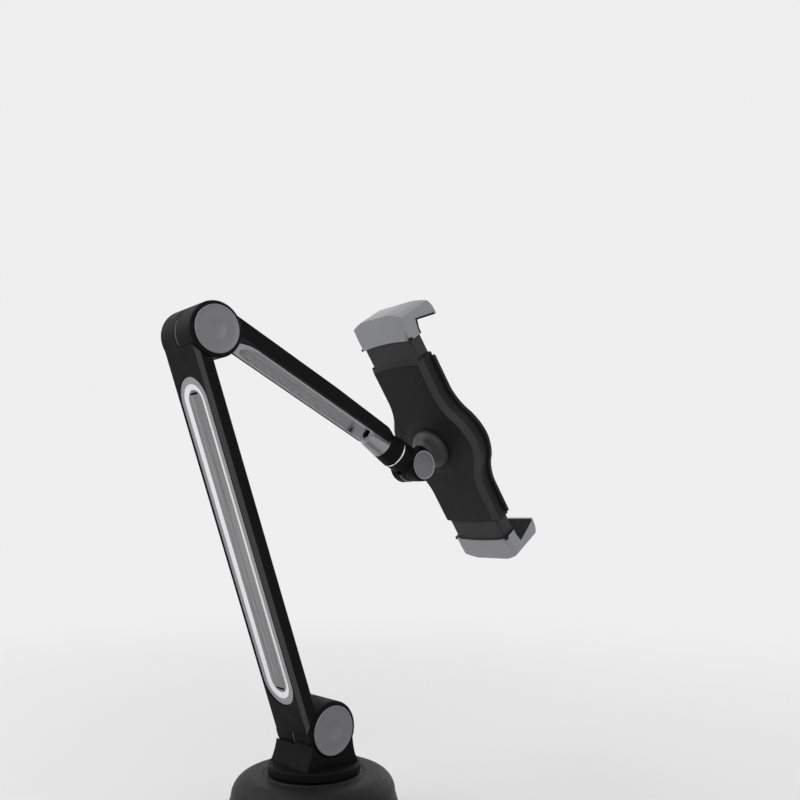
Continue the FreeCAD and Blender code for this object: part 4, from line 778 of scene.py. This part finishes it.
class STAND_OT_wrist(bpy.types.Operator):
    """Models the knuckle, its two small caps, and the collar with the middle leaf"""

    bl_idname = "stand.wrist"
    bl_label = "Wrist"

    def execute(self, context):
        self.knuckle(WRIST_REACH)
        self.caps()
        self.mount()
        return {"FINISHED"}

    def slot(self):
        """The room between the two outer leaves."""
        return slab(plate(12, 127.6, 150), -LEAF_GAP, LEAF_GAP, "x")

    def knuckle(self, reach):
        neck = lathe([(0, 122.3), (7.95, 122.3), (7.95, reach), (0, reach)])
        soften(neck, 0.5, 3, CORNER, lambda p: p.z < 123)
        barrel = lathe([(0, -8), (8.5, -8), (8.5, 8), (0, 8)], "x", (0, 0, reach))
        soften(barrel, 0.5, 3, CORNER)
        leaves = carved(barrel, self.slot())
        soften(leaves, 0.35, 2, CORNER, lambda p: abs(p.x) < 2.5 and math.hypot(p.y, p.z - reach) > 8.4)
        leaves.normal_update()
        # The rounded edges of the outer leaves get the bright aluminium: painted highlights, which show
        # as two light hairlines
        paint_faces(leaves, 1, lambda p, n: LEAF_GAP < abs(p.x) < 2.74 and abs(n.x) < 0.97)
        neck = carved(neck, self.slot())
        settle(joined(neck, leaves), "knuckle", "wrist", WRIST, ["enamelled zinc", "satin aluminium and painted highlight"],
               ["wrist_knuckle"])

    def caps(self):
        # A grey disc in a black ring, with a bright line between the two
        profile = [(0, 7.98), (8, 7.98), (8, 8.6), (7.5, 9.05), (7.1, 9.05), (6.9, 8.93), (0, 8.8)]
        for node, side in (("tilt_cap_front", -1), ("tilt_cap_rear", 1)):
            cap = lathe([(radius, side * reach) for radius, reach in profile], "x")
            cap.normal_update()
            paint_faces(cap, 1, lambda p, n: p.yz.length > 7.4)
            paint_faces(cap, 2, lambda p, n: 6.85 < p.yz.length < 7.35)
            settle(cap, node + "_disc", "wrist", TILT_HINGE,
                   ["turned cap tilt", "enamelled zinc", "satin aluminium and painted highlight"], [node])

    def mount(self):
        collar = lathe([
            (0, 14), (6, 14), (6, 17.7), (11.2, 17.7), (11.5, 18.0), (11.45, 19.0), (11.1, 20.2),
            (10.3, 21.4), (9.3, 22.4), (8.2, 23.2), (7.3, 24.0), (6.8, 24.9), (6.6, 25.8), (0, 25.8),
        ], "y", steps=FINE_STEPS)
        # The collar's dome gets the lighter ABS: a painted highlight
        paint_faces(collar, 1, lambda p, n: 17.9 < p.y < 25.6)
        disc = [(0, -LEAF_HALF), (8.3, -LEAF_HALF), (8.3, LEAF_HALF), (0, LEAF_HALF)]
        leaf = lathe(disc, "x", (0, PLATE_DEPTH, 0))
        soften(leaf, 0.3, 3, CORNER)
        corners = [(22, -6), (PLATE_DEPTH, -6), (PLATE_DEPTH, 6), (22, 6)]
        web = slab(corners, -LEAF_HALF, LEAF_HALF, "x")
        soften(web, 0.3, 3, CORNER)
        settle(joined(collar, leaf, web), "mount", "mount_head", HOLDER,
               ["enamelled zinc", "smooth ABS painted highlight"], ["mount_collar"])


# Holder


def holder_outline(inset, end, bow):
    """Corners of the holder's outline, and how far each is rounded."""
    waist, bulge = 20 - inset, 30 - inset
    right = [(waist, -end), (waist, -22), (bulge, -8), (bulge, 8), (waist, 22), (waist, end)]
    left = [(-x, -z) for x, z in right]
    if not bow:
        return right + left, {i: 7.9 for i in (1, 2, 3, 4, 7, 8, 9, 10)}
    rounds = {i: 7.9 for i in (1, 2, 3, 4, 8, 9, 10, 11)}
    rounds[6] = rounds[13] = 17 - inset
    return right + [(0, end + bow * 2)] + left + [(0, -end - bow * 2)], rounds


class STAND_OT_holder(bpy.types.Operator):
    """Models the holder's cover, its inner plate and the grip strips"""

    bl_idname = "stand.holder"
    bl_label = "Holder"

    def execute(self, context):
        self.cover()
        self.front()
        self.heads()
        self.strips()
        return {"FINISHED"}

    def cover(self):
        corners, rounds = holder_outline(0, 50.5, JAW_BOW)
        cover = slab(corners, COVER_RIM, COVER_BACK, "y", rounds, 10)
        soften(cover, size_of("body_bevel"), 1, CORNER, lambda p: p.y > 16.4)
        cover.normal_update()
        # The cover's chamfer gets the lighter ABS: a painted highlight
        paint_faces(cover, 1, lambda p, n: 0.5 < n.y < 0.9 and abs(n.z) < 0.62)
        corners, rounds = holder_outline(1.7, 48.8, 0)
        inside = slab(corners, 5, 13.4, "y", rounds, 10)
        channel = slab(plate(18.3, -56, 56), 5, 14.4, "y")
        cover = soften(carved(cover, inside, channel), 0.25, 2, 35, lambda p: p.y > 13.5)
        # The flange is a pair of strips let into the wall along the two sides
        corners, rounds = holder_outline(-2, 48.5, 0)
        flange = slab(corners, 6.25, 8.2, "y", rounds, 10)
        soften(flange, 0.4, 2, CORNER, lambda p: p.y > 8.1)
        corners, rounds = holder_outline(0.9, 52, 0)
        flange = carved(flange, slab(corners, 5, 10, "y", rounds, 10))
        dome = lathe([
            (0, 15.4), (19, 15.4), (19, 16.45), (17.2, 16.6), (15.5, 17.0), (14.2, 17.3), (13, 17.4),
            (0, 17.4),
        ], "y", steps=FINE_STEPS)
        settle(joined(cover, flange, dome), "holder_cover", "holder", HOLDER,
               ["textured ABS", "smooth ABS painted highlight"], ["back_cover"])

    def front(self):
        corners, rounds = holder_outline(1.9, 38.5, 0)
        inner = slab(corners, 6.25, 8.2, "y", rounds, 10)
        soften(inner, 0.3, 2, CORNER, lambda p: p.y < 6.3)
        settle(inner, "inner_plate", "holder", HOLDER, ["textured ABS"], ["front_plate"])

    def heads(self):
        profile = [(0, COVER_RIM), (2.1, COVER_RIM), (2.1, 7.2), (0, 7.2)]
        heads = []
        for x in (-24, 24):
            for z in (-7, 7):
                head = lathe(profile, "y", (x, 0, z), steps=32)
                soften(head, 0.2, 2, CORNER, lambda p: p.y < 6.3)
                for wide, tall in ((1.3, 0.35), (0.35, 1.3)):
                    left, right, low, high = x - wide, x + wide, z - tall, z + tall
                    bar = [(left, low), (right, low), (right, high), (left, high)]
                    head = carved(head, slab(bar, 5.9, 6.8, "y"))
                heads.append(head)
        settle(joined(*heads), "screw_heads", "holder", HOLDER, ["zinc plated steel"],
               ["cover_screws"])

    def strips(self):
        strips = []
        for side in (-1, 1):
            low, high = sorted((side * 13, side * 34))
            strip = slab(plate(10, low, high), 5.75, 6.3, "y", {i: 2 for i in range(4)}, 6)
            strips.append(soften(strip, 0.2, 2, CORNER, lambda p: p.y < 5.8))
            for step in range(9):
                place = low + 2.5 + step * 2
                rib = slab(plate(8.5, place, place + 0.8), 5.7, 5.9, "y")
                strips.append(soften(rib, 0.08, 2, CORNER))
        settle(joined(*strips), "grip_strips", "holder", HOLDER, ["matt silicone"], ["grip_pads"])


class STAND_OT_jaws(bpy.types.Operator):
    """Models the silver clamp and the rubber lining of the two jaws"""

    bl_idname = "stand.jaws"
    bl_label = "Jaws"

    def execute(self, context):
        for name, frame in (("top", HOLDER), ("bottom", BOTTOM_JAW)):
            self.clamp(name, frame)
            self.lining(name, frame)
        return {"FINISHED"}

    def beyond(self, ends, bow, far):
        """Everything from a bowed line across the jaw out to another level."""
        half = JAW_HALF + 0.3
        outline = [(-half, far), (half, far), (half, ends), (0, ends + bow * 2), (-half, ends)]
        return slab(outline, -14, 20, "y", {3: half * 0.98}, 24)

    def tenon(self, start):
        """The room for the slide's tenon, from a level up."""
        return slab(plate(TENON_HALF, start, TENON_END), *TENON_DEPTH, "y")

    def clamp(self, name, frame):
        hook = slab([
            (7.2, JAW_START), (16, JAW_START), (13.5, 76.9), (4.6, 79.2), (-4.4, 76.2), (-9.4, 73.2),
            (-9.8, 65.2), (-8.6, 65.2), (-8.6, 66.4), (5.8, 69.6), (7.2, 64),
        ], -JAW_HALF, JAW_HALF, "x", {3: 8.3, 5: 4.6}, 10)
        # The upright edges of the front, rounded
        outline = [(15.6, 16), (JAW_HALF, 16), (JAW_HALF, 12.1), (21, 12.1), (21, 18), (15.6, 18)]
        for side in (-1, 1):
            corners = [(side * across, depth) for across, depth in outline]
            hook = carved(hook, slab(corners, 58, 84, "z", {1: 3.85}, 10))
        inner_end = self.beyond(JAW_START, JAW_BOW, 59)
        crown = self.beyond(CROWN_START, CROWN_BOW, 84)
        hook = carved(hook, inner_end, crown, self.tenon(61))
        slot = slab([(-8.7, -4.5), (0, -8.9), (8.7, -4.5), (0, -0.1)], 75.9, 82, "z", {1: 6, 3: 6}, 10)
        hook = carved(hook, slot)
        bmesh.ops.recalc_face_normals(hook, faces=hook.faces[:])
        soften(hook, 0.6, 3, 40, lambda p: p.z > 72 and p.y > 11)
        hook.normal_update()
        paint_faces(hook, 1, lambda p, n: abs(p.x) < 8.6 and -7 < p.y < -2 and 75.8 < p.z < 76.0)
        settle(hook, name + "_hook", name + "_jaw", frame, ["silver lacquer", "matt silicone"],
               [name + "_clamp"])

    def lining(self, name, frame):
        pad = slab([
            (6, JAW_START), (15.2, JAW_START), (15.2, 64.25), (7.2, 64.25), (7.2, 64), (5.8, 69.6),
            (-8.6, 66.4), (-8.6, 65.2), (4.6, 68.3), (6, 64),
        ], -LINING_HALF, LINING_HALF, "x")
        pad = carved(pad, self.beyond(JAW_START, JAW_BOW, 59), self.tenon(60))
        # Behind the clamp's front the lining is only an even rim along the bowed end
        corners = [(-20, 66), (-20, 62.5), (0, 66.0), (20, 62.5), (20, 68), (-20, 68)]
        pad = carved(pad, slab(corners, 7.2, 17, "y", {2: 19.6}, 24))
        settle(pad, name + "_lining", name + "_jaw", frame, ["matt silicone"], [name + "_pad"])


class STAND_OT_inner_parts(bpy.types.Operator):
    """Gives the parts that keep their own shape their finishes"""

    bl_idname = "stand.inner_parts"
    bl_label = "Inner parts"

    def execute(self, context):
        finishes = {
            "black_plastic": "moulded nylon",
            "black_paint": "enamelled zinc",
            "silver_paint": "silver lacquer",
            "bright_aluminium": "satin aluminium and painted highlight",
            "cap_grey": "turned cap elbow",
            "steel": "zinc plated steel",
            "nylon": "acetal",
            "cup_rubber": "soft PVC",
            "pad_rubber": "matt silicone",
        }
        for node in NODES.values():
            if node.hide_render:
                continue
            for place in node.material_slots:
                finish = finishes.get(place.material.name.split(".")[0])
                if finish is None:
                    raise RuntimeError(f"no finish for {place.material.name}")
                place.material = bpy.data.materials[finish]
        return {"FINISHED"}


# Stage


class STAND_OT_stage(bpy.types.Operator):
    """Makes the floor, the lamps, the pale background and the camera"""

    bl_idname = "stand.stage"
    bl_label = "Stage"

    def execute(self, context):
        self.floor()
        self.world()
        self.lamps()
        self.camera(context.scene)
        context.scene.view_settings.view_transform = "Standard"
        return {"FINISHED"}

    def floor(self):
        pale = linear(colours().floor)
        mesh = bmesh.new()
        bmesh.ops.create_circle(mesh, cap_ends=True, segments=96, radius=6)
        data = bpy.data.meshes.new("floor")
        mesh.to_mesh(data)
        mesh.free()
        floor = bpy.data.objects.new("floor", data)
        bpy.context.scene.collection.objects.link(floor)
        material = bpy.data.materials.new("painted floor")
        material.use_nodes = True
        tree = material.node_tree
        shader = tree.nodes["Principled BSDF"]
        shader.inputs["Base Color"].default_value = pale
        shader.inputs["Roughness"].default_value = 0.6
        # The floor fades into the background with the distance from the stand
        space = add(tree, "ShaderNodeTexCoord")
        far = add(tree, "ShaderNodeVectorMath", {0: space.outputs["Object"]}, operation="LENGTH")
        fade = add(
            tree,
            "ShaderNodeMapRange",
            {
                "Value": far.outputs["Value"], "From Min": 0.12, "From Max": 0.9,
                "To Min": 0.0, "To Max": 1.0,
            },
            interpolation_type="SMOOTHSTEP",
        )
        glow = add(tree, "ShaderNodeEmission", {"Color": pale, "Strength": 0.98})
        blend = add(
            tree,
            "ShaderNodeMixShader",
            {0: fade.outputs["Result"], 1: shader.outputs["BSDF"], 2: glow.outputs["Emission"]},
        )
        tree.links.new(blend.outputs["Shader"], tree.nodes["Material Output"].inputs["Surface"])
        data.materials.append(material)

    def world(self):
        world = bpy.data.worlds.new("studio")
        bpy.context.scene.world = world
        world.use_nodes = True
        tree = world.node_tree
        tree.nodes.clear()
        light = add(tree, "ShaderNodeBackground", {"Color": linear("#FFFFFF"), "Strength": 0.32})
        seen = add(tree, "ShaderNodeBackground", {"Color": linear(colours().floor), "Strength": 0.98})
        path = add(tree, "ShaderNodeLightPath")
        mirror = add(
            tree,
            "ShaderNodeMath",
            {0: path.outputs["Is Glossy Ray"], 1: path.outputs["Is Transmission Ray"]},
            operation="MAXIMUM",
        )
        shown = add(
            tree, "ShaderNodeMath", {0: path.outputs["Is Camera Ray"], 1: mirror.outputs["Value"]},
            operation="MAXIMUM",
        )
        mix = add(
            tree,
            "ShaderNodeMixShader",
            {0: shown.outputs["Value"], 1: light.outputs["Background"], 2: seen.outputs["Background"]},
        )
        output = add(tree, "ShaderNodeOutputWorld", {"Surface": mix.outputs["Shader"]})
        tree.nodes.active = output

    def lamps(self):
        # Name, place in metres, width and power in watts
        lamps = (
            ("key", (0.5, 0.8, 0.95), 1.8, 12.0),
            ("fill", (-0.95, 0.35, 0.7), 1.4, 4.0),
            ("back", (0.2, -1.0, 0.8), 1.4, 4.0),
        )
        for name, place, width, power in lamps:
            lamp = bpy.data.lights.new(name, "AREA")
            lamp.shape = "DISK"
            lamp.size = width
            lamp.energy = power
            holder = bpy.data.objects.new(name, lamp)
            holder.location = place
            aim = Vector((0, -0.03, 0.15)) - Vector(place)
            holder.rotation_euler = aim.to_track_quat("-Z", "Y").to_euler()
            bpy.context.scene.collection.objects.link(holder)

    def camera(self, scene):
        # The axes of the view, and the place in millimetres
        right = Vector((-0.66989, -0.74246, 0.0))
        up = Vector((-0.10699, 0.09653, 0.98956))
        back = Vector((-0.73472, 0.66289, -0.14410))
        turn = Matrix((right, up, back)).transposed().to_4x4()
        camera = bpy.data.cameras.new("camera")
        camera.sensor_width = 36
        camera.lens = 36.82
        camera.clip_start = 0.01
        holder = bpy.data.objects.new("camera", camera)
        place = Vector((-318.0, 234.2, 141.35)) * MM
        holder.matrix_world = Matrix.Translation(place) @ turn
        scene.collection.objects.link(holder)
        scene.camera = holder


class STAND_PT_panel(bpy.types.Panel):
    """Lists the stand's sizes, colours and pieces"""

    bl_idname = "STAND_PT_panel"
    bl_label = "Suction Cup Stand"
    bl_space_type = "VIEW_3D"
    bl_region_type = "UI"
    bl_category = "Stand"

    def draw(self, context):
        layout = self.layout
        for group in (context.scene.stand_sizes, context.scene.stand_colours):
            for name in group.__annotations__:
                layout.prop(group, name)
        for operator in OPERATORS:
            layout.operator(operator.bl_idname)


OPERATORS = (
    STAND_OT_finishes,
    STAND_OT_base,
    STAND_OT_hinges,
    STAND_OT_lower_arm,
    STAND_OT_upper_arm,
    STAND_OT_wrist,
    STAND_OT_holder,
    STAND_OT_jaws,
    STAND_OT_inner_parts,
    STAND_OT_stage,
)
CLASSES = (StandColours, StandSizes, *OPERATORS, STAND_PT_panel)


def register():
    for item in CLASSES:
        bpy.utils.register_class(item)
    bpy.types.Scene.stand_colours = PointerProperty(type=StandColours)
    bpy.types.Scene.stand_sizes = PointerProperty(type=StandSizes)


def unregister():
    del bpy.types.Scene.stand_sizes
    del bpy.types.Scene.stand_colours
    for item in reversed(CLASSES):
        bpy.utils.unregister_class(item)


def main():
    register()
    bpy.ops.stand.finishes()
    bpy.ops.stand.base()
    bpy.ops.stand.hinges()
    bpy.ops.stand.lower_arm()
    bpy.ops.stand.upper_arm()
    bpy.ops.stand.wrist()
    bpy.ops.stand.holder()
    bpy.ops.stand.jaws()
    bpy.ops.stand.inner_parts()
    bpy.ops.stand.stage()


if __name__ == "__main__":
    main()
